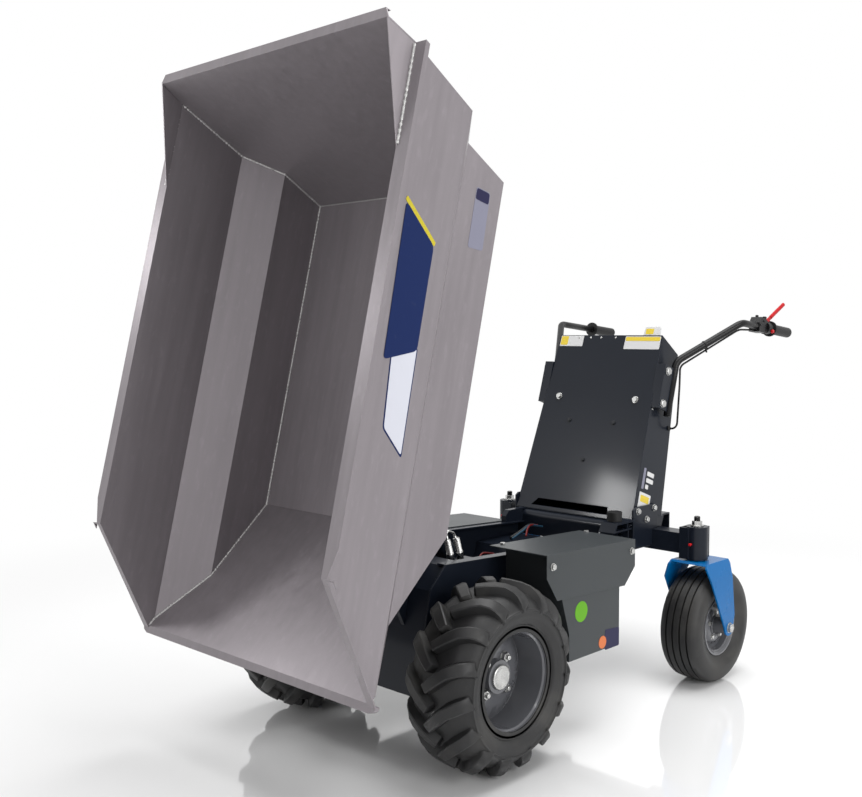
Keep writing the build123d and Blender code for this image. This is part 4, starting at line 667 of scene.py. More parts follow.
class Form:
    """Gathers the faces of one piece and turns them into an object."""

    def __init__(self, name: str) -> None:
        """Start an empty form.

        Args:
            name: The piece's name.
        """
        self.name = name
        self.mesh = bmesh.new()

    def skin(self, rings: Sequence[Sequence[Vector]], closed: bool = False) -> "Form":
        """Join rings of points, one after another, into a closed skin.

        Args:
            rings: Rings with the same number of points.
            closed: Whether the last ring joins the first; otherwise both ends are capped.

        Returns:
            The form itself.
        """
        loops = [[self.mesh.verts.new(point) for point in ring] for ring in rings]
        count = len(loops[0])
        pairs = list(zip(loops, loops[1:]))
        if closed:
            pairs.append((loops[-1], loops[0]))
        for low, high in pairs:
            for i in range(count):
                j = (i + 1) % count
                self.mesh.faces.new((low[i], low[j], high[j], high[i]))
        if not closed:
            self.mesh.faces.new(loops[0][::-1])
            self.mesh.faces.new(loops[-1])
        return self

    def prism(self, outline: Sequence[Vector], run: Vector) -> "Form":
        """Add a straight prism.

        Args:
            outline: Its base.
            run: From the base to the other end.

        Returns:
            The form itself.
        """
        return self.skin([outline, [point + run for point in outline]])

    def turned(
        self,
        profile: Sequence[Sequence[float]],
        centre: Vector,
        axis: Vector,
        steps: int = 48,
        ring: bool = False,
    ) -> "Form":
        """Add a turned solid.

        Args:
            profile: Radius and distance along the axis, from one end to the other.
            centre: A point on the axis, at distance 0.
            axis: The axis's direction.
            steps: How many flats it has around.
            ring: Whether the profile is a closed outline that never meets the axis.

        Returns:
            The form itself.
        """
        axis = axis.normalized()
        first = axis.orthogonal().normalized()
        second = axis.cross(first)
        rings = []
        for radius, along in profile:
            middle = centre + axis * along
            rings.append(
                [
                    middle + (first * math.cos(angle) + second * math.sin(angle)) * radius
                    for angle in turns(steps)
                ]
            )
        return self.skin(rings, closed=ring)

    def swept(
        self,
        path: Sequence[Vector],
        section: Callable[[int], Sequence[tuple[float, float]]],
        up: Vector,
        closed: bool = False,
    ) -> "Form":
        """Sweep a section along a path.

        Args:
            path: The points to follow.
            section: Gives the section at each point, as distances aside and up.
            up: Roughly the section's upward direction.
            closed: Whether the path is a loop.

        Returns:
            The form itself.
        """
        rings = []
        last = len(path) - 1
        for i, point in enumerate(path):
            ahead = path[(i + 1) % len(path)] if closed else path[min(i + 1, last)]
            behind = path[i - 1] if closed else path[max(i - 1, 0)]
            run = (ahead - behind).normalized()
            aside = up.cross(run).normalized()
            rise = run.cross(aside)
            rings.append([point + aside * a + rise * b for a, b in section(i)])
            up = rise
        return self.skin(rings, closed=closed)

    def tube(self, path: Sequence[Vector], radius: float, sides: int = 12) -> "Form":
        """Sweep a round section along a path.

        Args:
            path: The points to follow.
            radius: The tube's radius.
            sides: How many sides it has.

        Returns:
            The form itself.
        """
        circle = [(radius * math.cos(turn), radius * math.sin(turn)) for turn in turns(sides)]
        up = (path[1] - path[0]).orthogonal()
        return self.swept(path, lambda _: circle, up)

    def bead(self, corners: Sequence[Vector], radius: float, pitch: float = 0.009) -> "Form":
        """Add a rippled weld bead.

        Args:
            corners: The corners of its line.
            radius: The bead's radius.
            pitch: The length of one ripple.

        Returns:
            The form itself.
        """
        path = []
        for start, end in zip(corners, corners[1:]):
            count = max(2, round((end - start).length / pitch * 3))
            path += [start.lerp(end, step / count) for step in range(count)]
        path.append(corners[-1])

        def section(i: int) -> list[tuple[float, float]]:
            """Return the bead's section: one ripple every three points, a little uneven."""
            swell = radius * (0.80 + 0.26 * math.cos(math.tau * i / 3) + 0.16 * math.sin(i * 1.7))
            return [(swell * math.cos(turn), swell * math.sin(turn)) for turn in turns(7)]

        return self.swept(path, section, (path[1] - path[0]).orthogonal())

    def film(self, place: Place, corners: Profile, radius: float) -> "Form":
        """Lay a thin film on a place's along-across plane.

        Args:
            place: The plane; its up direction leaves the surface.
            corners: The film's corners, along and across.
            radius: The rounding of its corners.

        Returns:
            The form itself.
        """
        sunk, thickness = 0.0004, 0.0009
        flat = [place.at(along, across, -sunk) for along, across in corners]
        return self.prism(rounded(flat, radius), place.up * thickness)

    def hexagon(self, spot: Vector, axis: Vector, radius: float, height: float) -> "Form":
        """Add a chamfered hexagon head or nut.

        Args:
            spot: The middle of its seat.
            axis: Its direction, away from the seat.
            radius: Its radius over the corners.
            height: Its height.

        Returns:
            The form itself.
        """
        edge = 0.12 * radius
        profile = ((radius, 0.0), (radius, height - edge), (radius - edge, height))
        return self.turned(profile, spot, axis, steps=6)

    def bolt(self, spot: Vector, axis: Vector, radius: float) -> "Form":
        """Add a bolt head on a washer, sized from the bolt's radius.

        Args:
            spot: The middle of the washer's seat.
            axis: The bolt's direction, away from the seat.
            radius: The thread's radius.

        Returns:
            The form itself.
        """
        washer = 0.35 * radius
        self.turned(((2.1 * radius, 0.0), (2.1 * radius, washer)), spot, axis, steps=24)
        self.hexagon(spot + axis.normalized() * washer, axis, 1.75 * radius, 1.2 * radius)
        return self

    def piece(
        self,
        body: str,
        finish: Finish,
        bevel: float = 0.0,
        replaces: Sequence[str] = (),
        crease: float = 35.0,
    ) -> bpy.types.Object:
        """Turn the gathered faces into an object that rides on a body.

        Args:
            body: The CAD body that it rides on.
            finish: Its finish.
            bevel: The width that its sharp edges are rounded by.
            replaces: The CAD nodes that it stands for.
            crease: The angle above which an edge stays sharp, in degrees.

        Returns:
            The object.
        """
        bmesh.ops.remove_doubles(self.mesh, verts=self.mesh.verts, dist=1e-6)
        bmesh.ops.recalc_face_normals(self.mesh, faces=self.mesh.faces)
        data = bpy.data.meshes.new(self.name)
        self.mesh.to_mesh(data)
        self.mesh.free()
        data.shade_smooth()
        made = bpy.data.objects.new(self.name, data)
        bpy.context.scene.collection.objects.link(made)
        if bevel:
            round_edges(made, bevel)
        else:
            data.set_sharp_from_angle(angle=math.radians(crease))
        data.materials.append(finish.material())
        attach(made, body)
        if replaces:
            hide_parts(*replaces)
        log.info("piece %s on %s", made.name, body)
        return made


@dataclass(frozen=True)
class Label:
    """A blank film on a panel; a higher layer lies on the films below it."""

    name: str
    finish: Finish
    corners: Profile
    layer: int = 0
    radius: float = 0.003
    step: float = 0.0004

    def lay(self, face: Place, body: str) -> None:
        """Lay the film.

        Args:
            face: The panel's plane.
            body: The CAD body that it rides on.
        """
        origin = face.origin + face.up * (self.layer * self.step)
        raised = Place(origin, face.along, face.across, face.up)
        Form(self.name).film(raised, self.corners, self.radius).piece(body, self.finish)


def round_edges(made: bpy.types.Object, width: float) -> None:
    """Round an object's sharp edges with modifiers.

    Args:
        made: The object.
        width: The rounding's width.
    """
    bevel = made.modifiers.new("round", "BEVEL")
    bevel.limit_method = "ANGLE"
    bevel.angle_limit = math.radians(30)
    bevel.width = width
    bevel.segments = 2
    bevel.use_clamp_overlap = True
    weighted = made.modifiers.new("shade", "WEIGHTED_NORMAL")
    weighted.keep_sharp = False


def dress_nodes(finish: Finish, bevel: float, *names: str) -> None:
    """Give CAD nodes their finish and rounded edges.

    Args:
        finish: Their finish.
        bevel: The width that their sharp edges are rounded by; 0 leaves them.
        names: The nodes' names.
    """
    for name in names:
        made = frame["nodes"][name]
        made.data.shade_smooth()
        for holder in made.material_slots:
            holder.material = finish.material()
        weld = made.modifiers.new("join", "WELD")
        weld.merge_threshold = 1e-5
        if bevel:
            flatten = made.modifiers.new("flatten", "DECIMATE")
            flatten.decimate_type = "DISSOLVE"
            flatten.angle_limit = math.radians(0.5)
            round_edges(made, bevel)
        log.info("node %s in %s", name, finish.name)


# ------------------------------------------------------------------ tub
@dataclass
class Tub:
    """The tipping tub: sheet panels, weld seams and side markings."""

    floor_length: float = 0.830
    hinge_ahead: float = 0.0622
    hinge_below: float = 0.010
    sheet: float = 0.003
    rear_lean: float = math.radians(17.75)
    front_lean: float = math.radians(55.7)
    rim_height: float = 0.4255
    lip_height: float = 0.239
    wing_length: float = 0.218
    wing_seam_y: float = 0.4172
    wall_line: Profile = ((0.325, 0.003), (0.325, 0.1392), (0.407, 0.2267))
    rear_top_y: float = 0.413
    front_top_y: float = 0.4074
    floor_seam: float = 0.0045
    bead: float = 0.0034
    bead_inset: float = 0.0015
    lip_plan: Profile = (
        (-0.003, 0.404), (0.0132, 0.404), (0.0132, 0.412), (0.006, 0.4270), (-0.003, 0.4295)
    )
    lip_depth: float = 0.0126

    def place(self) -> Place:
        """Find the tub's own frame at rest.

        Returns:
            A place whose origin is the floor's rear edge; along runs to the tub's front.
        """
        along = Vector((math.cos(TIP), 0.0, -math.sin(TIP)))
        up = Vector((math.sin(TIP), 0.0, math.cos(TIP)))
        hinge = Vector(TIP_JOINT["pos_m"])
        origin = hinge - along * (self.floor_length + self.hinge_ahead) + up * self.hinge_below
        return Place(origin, along, LEFTWARD, up)

    def rear(self, height: float) -> float:
        """Return where the rear wall's inner face stands at a height."""
        return self.sheet / math.cos(self.rear_lean) - height * math.tan(self.rear_lean)

    def front(self, height: float) -> float:
        """Return where the front wall's inner face stands at a height."""
        lean = self.front_lean
        return self.floor_length + height * math.tan(lean) - self.sheet / math.cos(lean)

    def dress(self) -> None:
        """Finish the panels and the frame below them."""
        walls = ("tub_side_left", "tub_side_right", "tub_front", "tub_rear", "tub_wings")
        dress_nodes(TUB_GREY, 0.0008, "tub_floor", *walls)
        dress_nodes(CHASSIS, 0.001, "tub_subframe")

    def seams(self) -> None:
        """Lay the weld beads inside the body and below the wings."""
        tub, inset, low = self.place(), self.bead_inset, self.floor_seam
        rear_line = (*self.wall_line, (self.rear_top_y, self.rim_height))
        front_line = (*self.wall_line, (self.front_top_y, self.lip_height))
        floor_y = self.wall_line[0][0]
        foot = self.rear(self.rim_height)
        wing_ends = (foot + 0.004, foot + self.wing_length - 0.006)
        wing_up = self.rim_height + 0.0008
        form = Form("tub_seams")
        for side in Side:
            hand = side.value
            lines = (
                [(self.rear(z) + inset, hand * (y - inset), z) for y, z in rear_line],
                [(self.front(z) - inset, hand * (y - inset), z) for y, z in front_line],
                [(x, hand * (floor_y - inset), low) for x in (self.rear(low), self.front(low))],
            )
            for line in lines:
                form.bead([tub.at(*point) for point in line], self.bead)
            wing = [tub.at(x, hand * self.wing_seam_y, wing_up) for x in wing_ends]
            form.bead(wing, 0.0042, pitch=0.012)
        across = [tub.at(self.rear(low) + inset, y, low) for y in (-0.322, 0.322)]
        form.bead(across, 0.6 * self.bead)
        form.piece("tub", TUB_WELD_PAINTED_HIGHLIGHT, crease=60.0)

    def lip_corners(self) -> None:
        """Close the gaps between the lip's flange and the sloping side flanges."""
        tub, top = self.place(), self.lip_height + 0.0004
        lip = self.floor_length + self.lip_height * math.tan(self.front_lean)
        form = Form("lip_corners")
        for side in Side:
            outline = [tub.at(lip + x, side.value * y, top) for x, y in self.lip_plan]
            form.prism(rounded(outline, 0.003, 3), tub.up * -self.lip_depth)
        form.piece("tub", TUB_GREY, bevel=0.0008)

    def wall_place(self, low: tuple[float, float], high: tuple[float, float]) -> Place:
        """Return the plane of a stretch of the left wall's outer face.

        Args:
            low: The stretch's lower edge: half width, height.
            high: Its upper edge.

        Returns:
            A place whose origin is the lower edge at the floor's rear end.
        """
        tub = self.place()
        rise = (tub.across * (high[0] - low[0]) + tub.up * (high[1] - low[1])).normalized()
        return Place(tub.at(0.0, *low), tub.along, rise, rise.cross(tub.along))

    def markings(self) -> None:
        """Lay the blank side markings."""
        upper = self.wall_place((0.410, 0.2255), (0.416, self.rim_height))
        lower = self.wall_place((0.328, 0.0), (0.328, 0.138))
        edge = ((0.455, 0.046), (0.478, 0.121), (0.633, 0.108), (0.684, 0.041))
        tail = ((0.458, 0.049), (0.480, 0.118), (0.631, 0.105), (0.678, 0.044))
        stripe = ((0.166, 0.149), (0.176, 0.152), (0.243, 0.049), (0.234, 0.045))
        field = ((0.178, 0.149), (0.242, 0.050), (0.463, 0.048), (0.500, 0.139))
        plate = ((0.040, 0.040), (0.040, 0.088), (0.181, 0.086), (0.176, 0.036))
        head = ((0.042, 0.042), (0.042, 0.086), (0.068, 0.086), (0.068, 0.041))
        Label("mark_edge", FILM_BLUE, edge, radius=0.008).lay(upper, "tub")
        Label("mark_tail", FILM_WHITE, tail, layer=1, radius=0.007).lay(upper, "tub")
        Label("mark_stripe", FILM_YELLOW, stripe, layer=1, radius=0.004).lay(upper, "tub")
        Label("mark_field", FILM_BLUE, field, layer=2, radius=0.012).lay(upper, "tub")
        Label("plate_base", FILM_SILVER, plate, radius=0.007).lay(lower, "tub")
        Label("plate_head", FILM_NAVY, head, layer=1, radius=0.006).lay(lower, "tub")

    def build(self) -> None:
        """Build and dress the whole tub."""
        self.dress()
        self.seams()
        self.lip_corners()
        self.markings()


# ------------------------------------------------------------------ wheels
@dataclass(frozen=True)
class LugStation:
    """One place along a tyre lug.

    Args:
        across: Distance from the tyre's centre plane.
        sweep: Angle round the tyre from the lug's inner end, in degrees.
        height: Height over the carcass.
        half_top: Half the lug's width at its top.
        half_base: Half its width at the carcass.
    """

    across: float
    sweep: float
    height: float
    half_top: float
    half_base: float


@dataclass
class DriveWheel:
    """A lugged drive wheel: tyre, deep dished rim, hub, cap and nuts."""

    side: Side
    carcass_radius: float = 0.2066
    half_width: float = 0.094
    rim_radius: float = 0.130
    bead_seat: float = 0.1155
    disc_face: float = 0.008
    nose_face: float = 0.028
    stud_circle: float = 0.105
    studs: int = 4
    lugs: int = 15
    lug_stations: tuple[LugStation, ...] = (
        LugStation(-0.008, -1.8, 0.0130, 0.0060, 0.0095),
        LugStation(-0.004, -0.9, 0.0218, 0.0105, 0.0150),
        LugStation(0.012, 2.6, 0.0219, 0.0120, 0.0165),
        LugStation(0.030, 6.8, 0.0219, 0.0125, 0.0170),
        LugStation(0.046, 10.4, 0.0210, 0.0130, 0.0175),
        LugStation(0.060, 13.2, 0.0190, 0.0135, 0.0180),
        LugStation(0.072, 15.0, 0.0160, 0.0140, 0.0185),
        LugStation(0.083, 16.2, 0.0115, 0.0145, 0.0190),
        LugStation(0.0905, 17.0, 0.0060, 0.0145, 0.0195),
        LugStation(0.0935, 17.6, 0.0005, 0.0140, 0.0190),
    )
    lug_root: float = 0.004
    lug_flare: float = 0.001
    lug_round: float = 0.002
    cap: Profile = (
        (0.0296, 0.0), (0.0296, 0.0056), (0.0280, 0.0070), (0.0235, 0.0074),
        (0.0225, 0.0068), (0.0015, 0.0068),
    )
    nut_washer: Profile = ((0.0135, 0.0), (0.0135, 0.002))
    stud_tip: Profile = ((0.0062, 0.012), (0.0062, 0.0185), (0.0050, 0.0195))
    valve_stem: Profile = ((0.0058, -0.010), (0.0048, 0.018), (0.0040, 0.020), (0.0040, 0.030))

    def __post_init__(self) -> None:
        """Read the wheel's place from its tyre's box."""
        low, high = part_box(f"front_tyre_{self.side.hand}")
        self.centre = (low + high) / 2
        self.axis = self.side.outward
        self.body = f"front_wheel_{self.side.hand}"

    def profile(self) -> list[Vector]:
        """Draw the carcass's outer line.

        Returns:
            Its points, as radius and distance outboard.
        """
        crown, wide, bead = self.carcass_radius, self.half_width, self.rim_radius
        half = (
            (crown, 0.0),
            (crown - 0.001, 0.030),
            (crown - 0.006, 0.056),
            (crown - 0.020, 0.078),
            (crown - 0.034, wide - 0.002),
            (crown - 0.036, wide + 0.0012),
            (crown - 0.039, wide + 0.0012),
            (crown - 0.041, wide - 0.0012),
            (crown - 0.054, wide - 0.001),
            (bead + 0.014, wide - 0.005),
            (bead + 0.006, wide - 0.009),
            (bead + 0.002, wide - 0.014),
        )
        return smooth_line(half, 3)

    def tyre(self) -> None:
        """Build the tyre: a round carcass with its lugs."""
        form = Form(f"drive_tyre_{self.side.hand}")
        half = self.profile()
        outline = [(p.x, p.y) for p in half]
        outline += [(self.bead_seat, outline[-1][1]), (self.bead_seat, -outline[-1][1])]
        outline += [(p.x, -p.y) for p in half[:0:-1]]
        form.turned(outline, self.centre, self.axis, steps=120, ring=True)
        for flank in (1, -1):
            for count in range(self.lugs):
                self.lug(form, half, flank, count)
        form.piece(self.body, TYRE, replaces=[f"front_tyre_{self.side.hand}"], crease=32.0)

    def lug(self, form: Form, half: list[Vector], flank: int, count: int) -> None:
        """Add one lug.

        Args:
            form: The form to add to.
            half: The carcass's outer line.
            flank: 1 on the left of the tyre, -1 on the right.
            count: Which lug it is.
        """
        start = 360.0 / self.lugs * (count + 0.25 * flank)
        outward = LEFTWARD * flank
        spots = []
        for station in self.lug_stations:
            radius, normal = self.surface(half, abs(station.across))
            ray = spoke(math.radians(start + station.sweep))
            spot = self.centre + ray * radius + outward * station.across
            across = math.copysign(normal.y, station.across)
            spots.append((spot, (ray * normal.x + outward * across).normalized(), station))
        rings = []
        for i, (spot, rise, station) in enumerate(spots):
            ahead = spots[min(i + 1, len(spots) - 1)][0]
            behind = spots[max(i - 1, 0)][0]
            aside = rise.cross((ahead - behind).normalized()).normalized()
            top, high = station.half_top, station.height
            shoulder = max(high - self.lug_round, 0.0)
            flank_line = (
                (station.half_base, -self.lug_root),
                (top + self.lug_flare, shoulder),
                (top - self.lug_round, high),
            )
            rings.append(
                [spot - aside * wide + rise * up for wide, up in flank_line]
                + [spot + aside * wide + rise * up for wide, up in flank_line[::-1]]
            )
        form.skin(rings)

    def surface(self, half: list[Vector], across: float) -> tuple[float, Vector]:
        """Find the carcass's radius and outward direction at a distance across.

        Args:
            half: The carcass's outer line.
            across: Distance from the centre plane.

        Returns:
            The radius, and the direction as radial and outboard parts.
        """
        for start, end in zip(half, half[1:]):
            if start.y <= across <= end.y and end.y > start.y:
                share = (across - start.y) / (end.y - start.y)
                run = (end - start).normalized()
                return start.x + (end.x - start.x) * share, Vector((run.y, -run.x, 0.0))
        return half[0].x, Vector((1.0, 0.0, 0.0))

    def fittings(self) -> None:
        """Add the bright cap, the wheel nuts and the valve."""
        hand, axis = self.side.hand, self.axis
        nose = self.centre + axis * self.nose_face
        cap = Form(f"hub_cap_{hand}").turned(self.cap, nose, axis)
        cap.piece(self.body, ZINC, bevel=0.0005)
        nuts = Form(f"wheel_nuts_{hand}")
        disc = self.centre + axis * self.disc_face
        for turn in turns(self.studs):
            seat = disc + spoke(turn + math.pi / self.studs) * self.stud_circle / 2
            nuts.turned(self.nut_washer, seat, axis, steps=24)
            nuts.hexagon(seat, axis, 0.0122, 0.0125)
            nuts.turned(self.stud_tip, seat, axis, steps=16)
        nuts.piece(self.body, ZINC, bevel=0.0004)
        foot = self.centre + Vector((0.062, 0.0, 0.080)) + axis * 0.030
        valve = Form(f"tyre_valve_{hand}").turned(self.valve_stem, foot, axis, steps=16)
        valve.piece(self.body, GRIP)

    def build(self) -> None:
        """Build and dress the wheel."""
        self.tyre()
        dress_nodes(RIM_GREY, 0.0012, f"front_rim_{self.side.hand}")
        dress_nodes(RIM_GREY, 0.0008, f"front_hub_{self.side.hand}")
        self.fittings()


@dataclass
class Castor:
    """A swivel castor: fork, pins, rim and ribbed tyre."""

    side: Side
    radius: float = 0.168
    half_width: float = 0.064
    bead_radius: float = 0.0775
    bead_half: float = 0.0462
    groove_depth: float = 0.0065
    groove_half: float = 0.0026
    grooves: tuple[float, ...] = (0.0115, 0.0330)
    disc_face: float = 0.036
    disc_plate: Profile = (
        (0.0235, 0.0), (0.0440, 0.0), (0.0500, -0.0030), (0.0560, -0.0110), (0.0640, -0.0130),
        (0.0725, -0.0120), (0.0725, -0.0145), (0.0640, -0.0155), (0.0545, -0.0135),
        (0.0485, -0.0055), (0.0440, -0.0025), (0.0235, -0.0025),
    )
    disc_ring: Profile = (
        (0.0275, -0.002), (0.0275, 0.0035), (0.0295, 0.0050), (0.0315, 0.0035), (0.0315, -0.002)
    )
    disc_bolts: int = 5
    bolt_circle: float = 0.077
    leg_face: float = 0.080
    nut_washer: float = 0.0020
    axle_tip: Profile = ((0.0075, 0.0), (0.0075, 0.0098), (0.0066, 0.0106))
    kingpin_tip: Profile = ((0.0088, 0.0), (0.0088, 0.0115), (0.0074, 0.0130))

    def __post_init__(self) -> None:
        """Read the wheel's place from its tyre's box."""
        low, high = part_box(f"castor_tyre_{self.side.hand}")
        self.centre = (low + high) / 2
        self.axis = self.side.outward
        self.body = f"castor_wheel_{self.side.hand}"

    def crown(self, across: float) -> float:
        """Return the tread's radius at a distance from the centre plane."""
        return self.radius - 1.6 * across**2

    def tyre(self) -> None:
        """Build the tyre: ribs between grooves, square shoulders and smooth sidewalls."""
        half = [(self.crown(0.0), 0.0)]
        depth, draft = self.groove_depth, 0.0006
        for groove in self.grooves:
            near, far = groove - self.groove_half, groove + self.groove_half
            half += [(self.crown(near), near), (self.crown(near) - depth, near + draft)]
            half += [(self.crown(far) - depth, far - draft), (self.crown(far), far)]
        shoulder = (
            (self.crown(0.046), 0.046),
            (self.radius - 0.0075, 0.0525),
            (self.radius - 0.014, 0.0580),
            (self.radius - 0.027, self.half_width - 0.0015),
            (self.radius - 0.044, self.half_width - 0.0006),
            (self.radius - 0.060, self.half_width - 0.006),
            (0.0925, 0.0505),
            (0.0885, 0.0470),
        )
        half += [(point.x, point.y) for point in smooth_line(shoulder, 4)]
        outline = [*half, (self.bead_radius, self.bead_half), (self.bead_radius, -self.bead_half)]
        outline += [(radius, -across) for radius, across in half[:0:-1]]
        form = Form(f"ribbed_tyre_{self.side.hand}")
        form.turned(outline, self.centre, self.axis, steps=112, ring=True)
        form.piece(self.body, TYRE, replaces=[f"castor_tyre_{self.side.hand}"], crease=38.0)

    def rim_fittings(self) -> None:
        """Add the disc's plates, ring and bolts."""
        face = self.centre + self.axis * self.disc_face
        disc = Form(f"castor_disc_ring_{self.side.hand}")
        disc.turned(self.disc_ring, face, self.axis, ring=True)
        for way in (1, -1):
            out = self.axis * way
            seat = self.centre + out * self.disc_face
            disc.turned(self.disc_plate, seat, out, steps=56, ring=True)
        disc.piece(self.body, RIM_GREY, crease=50.0)
        bolts = Form(f"castor_rim_bolts_{self.side.hand}")
        for turn in turns(self.disc_bolts):
            ray = spoke(turn + math.radians(18))
            bolts.bolt(face + ray * self.bolt_circle / 2, self.axis, 0.0034)
        bolts.piece(self.body, ZINC, bevel=0.0003)

    def pins(self) -> None:
        """Add the axle bolt's washers and nuts, and the kingpin's dark tip."""
        body = f"castor_{self.side.hand}"
        nuts = Form(f"castor_axle_nuts_{self.side.hand}")
        for way in (1, -1):
            out = self.axis * way
            seat = self.centre + out * self.leg_face
            nuts.turned(((0.0150, 0.0), (0.0150, self.nut_washer)), seat, out, steps=32)
            nuts.hexagon(seat + out * self.nut_washer, out, 0.0128, 0.0070)
            nuts.turned(self.axle_tip, seat, out, steps=24)
        nuts.piece(body, ZINC, bevel=0.0004)
        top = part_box(f"castor_pins_{self.side.hand}")[1].z
        foot = Vector((SWIVEL_X, self.centre.y, top - self.kingpin_tip[-1][1]))
        tip = Form(f"kingpin_tip_{self.side.hand}")
        tip.turned(self.kingpin_tip, foot, UPWARD, steps=24).piece(body, PLASTIC)

    def build(self) -> None:
        """Build and dress the castor."""
        hand = self.side.hand
        self.tyre()
        self.rim_fittings()
        self.pins()
        dress_nodes(FORK_BLUE, 0.0015, f"castor_fork_{hand}")
        dress_nodes(ZINC, 0.0006, f"castor_pins_{hand}")
        dress_nodes(RIM_GREY, 0.001, f"castor_rim_{hand}")


# ------------------------------------------------------------------ chassis
@dataclass
class Chassis:
    """The frame, battery boxes, axle, hydraulics and ram."""

    lid_slope: float = math.atan2(0.014, 0.386)
    lid_top: tuple[float, float] = (0.262, 0.4948)
    lid_bolts: Profile = ((0.260, 0.2085), (-0.0775, 0.2270))
    flap_face: float = 0.380
    flap_bolts: Profile = ((0.2751, 0.4668), (-0.0700, 0.4545))
    right_lower: float = 0.030
    tray_face: float = 0.377
    cheek_face: float = 0.224
    cheek_bolts: Profile = ((-0.342, 0.5085), (-0.429, 0.5100), (-0.3885, 0.480))
    housing_radius: float = 0.033
    nipple_height: float = 0.418
    nipple: Profile = (
        (0.0034, 0.0), (0.0034, 0.004), (0.0044, 0.005), (0.0044, 0.010), (0.003, 0.0115)
    )

    def bolts(self) -> None:
        """Add the zinc bolts of the lids and cheeks."""
        lids, cheeks = Form("lid_bolts"), Form("cheek_bolts")
        upward = Vector((math.sin(self.lid_slope), 0.0, math.cos(self.lid_slope)))
        for x, y in self.lid_bolts:
            drop = (self.lid_top[0] - x) * math.tan(self.lid_slope)
            lids.bolt(Vector((x, y, self.lid_top[1] - drop)), upward, 0.0042)
        for x, z in self.flap_bolts:
            for side in Side:
                lower = 0.0 if side is Side.LEFT else self.right_lower
                seat = Vector((x, side.value * self.flap_face, z - lower))
                lids.bolt(seat, side.outward, 0.0046)
        lids.piece("chassis", ZINC, bevel=0.0003)
        for side in Side:
            for x, z in self.cheek_bolts:
                seat = Vector((x, side.value * self.cheek_face, z))
                cheeks.bolt(seat, side.outward, 0.0050)
        cheeks.piece("chassis", ZINC, bevel=0.0003)

    def nipples(self) -> None:
        """Add a red-capped grease nipple on the front of each castor housing."""
        form = Form("grease_nipples")
        face = SWIVEL_X + self.housing_radius - 0.001
        for side in Side:
            low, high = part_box(f"castor_fork_{side.hand}")
            spot = Vector((face, (low.y + high.y) / 2, self.nipple_height))
            form.turned(self.nipple, spot, FORWARD, steps=16)
        form.piece("chassis", RED, crease=40.0)

    def labels(self) -> None:
        """Lay the blank labels on the left battery tray."""
        face = Place(LEFTWARD * self.tray_face, -FORWARD, UPWARD, LEFTWARD)
        plate = ((-0.046, 0.210), (0.0185, 0.210), (0.0185, 0.259), (-0.046, 0.264))
        badge = self.disc(-0.152, 0.3325, 0.0265)
        spot = self.disc(-0.0575, 0.2335, 0.0165)
        Label("green_badge", FILM_GREEN, badge, radius=0.0).lay(face, "chassis")
        Label("corner_label", FILM_NAVY, plate, radius=0.005).lay(face, "chassis")
        Label("corner_spot", FILM_ORANGE, spot, layer=1, radius=0.0).lay(face, "chassis")

    @staticmethod
    def disc(along: float, across: float, radius: float) -> Profile:
        """Draw a round film.

        Args:
            along: Where its middle is, along its panel.
            across: The same, across.
            radius: Its radius.

        Returns:
            Its corners.
        """
        return tuple(
            (along + radius * math.cos(turn), across + radius * math.sin(turn))
            for turn in turns(32)
        )

    def wires(self) -> None:
        """Run the loose wires between the pan's units."""
        runs = (
            ("loom", GRIP, 0.0055, (
                (-0.270, -0.110, 0.436), (-0.215, -0.085, 0.444),
                (-0.140, -0.055, 0.440), (-0.070, -0.035, 0.432),
            )),
            ("loom_blue", WIRE_BLUE, 0.0030, (
                (-0.275, -0.080, 0.434), (-0.205, -0.072, 0.448),
                (-0.135, -0.046, 0.443), (-0.065, -0.028, 0.432),
            )),
            ("loom_red", WIRE_RED, 0.0026, (
                (-0.268, -0.095, 0.438), (-0.200, -0.066, 0.450),
                (-0.165, -0.050, 0.446), (-0.120, -0.020, 0.434),
            )),
            ("lead_red", WIRE_RED, 0.0026, (
                (0.195, 0.070, 0.428), (0.172, 0.060, 0.436),
                (0.145, 0.052, 0.434), (0.110, 0.050, 0.426),
            )),
        )
        for name, finish, radius, points in runs:
            wire = Form(name).tube(smooth_line(points, 8), radius, sides=10)
            wire.piece("chassis", finish, crease=60.0)

    def build(self) -> None:
        """Build the fittings and dress the chassis's nodes."""
        self.bolts()
        self.nipples()
        self.labels()
        self.wires()
        dress_nodes(
            CHASSIS, 0.0012, "side_rails", "nose_plate", "ram_cross_member", "belly_pan",
            "rear_sill", "buffer_brackets", "castor_beam", "tower_base", "valve_block",
            "ram_barrel",
        )
        dress_nodes(COVER, 0.001, "battery_trays", "battery_covers")
        dress_nodes(BATTERY, 0.003, "batteries")
        dress_nodes(CASTING, 0.002, "drive_axle", "hydraulic_unit")
        dress_nodes(GRIP, 0.001, "rubber_buffers")
        dress_nodes(ZINC, 0.0, "pipe_unions")
        dress_nodes(CHROME, 0.0, "ram_rod")


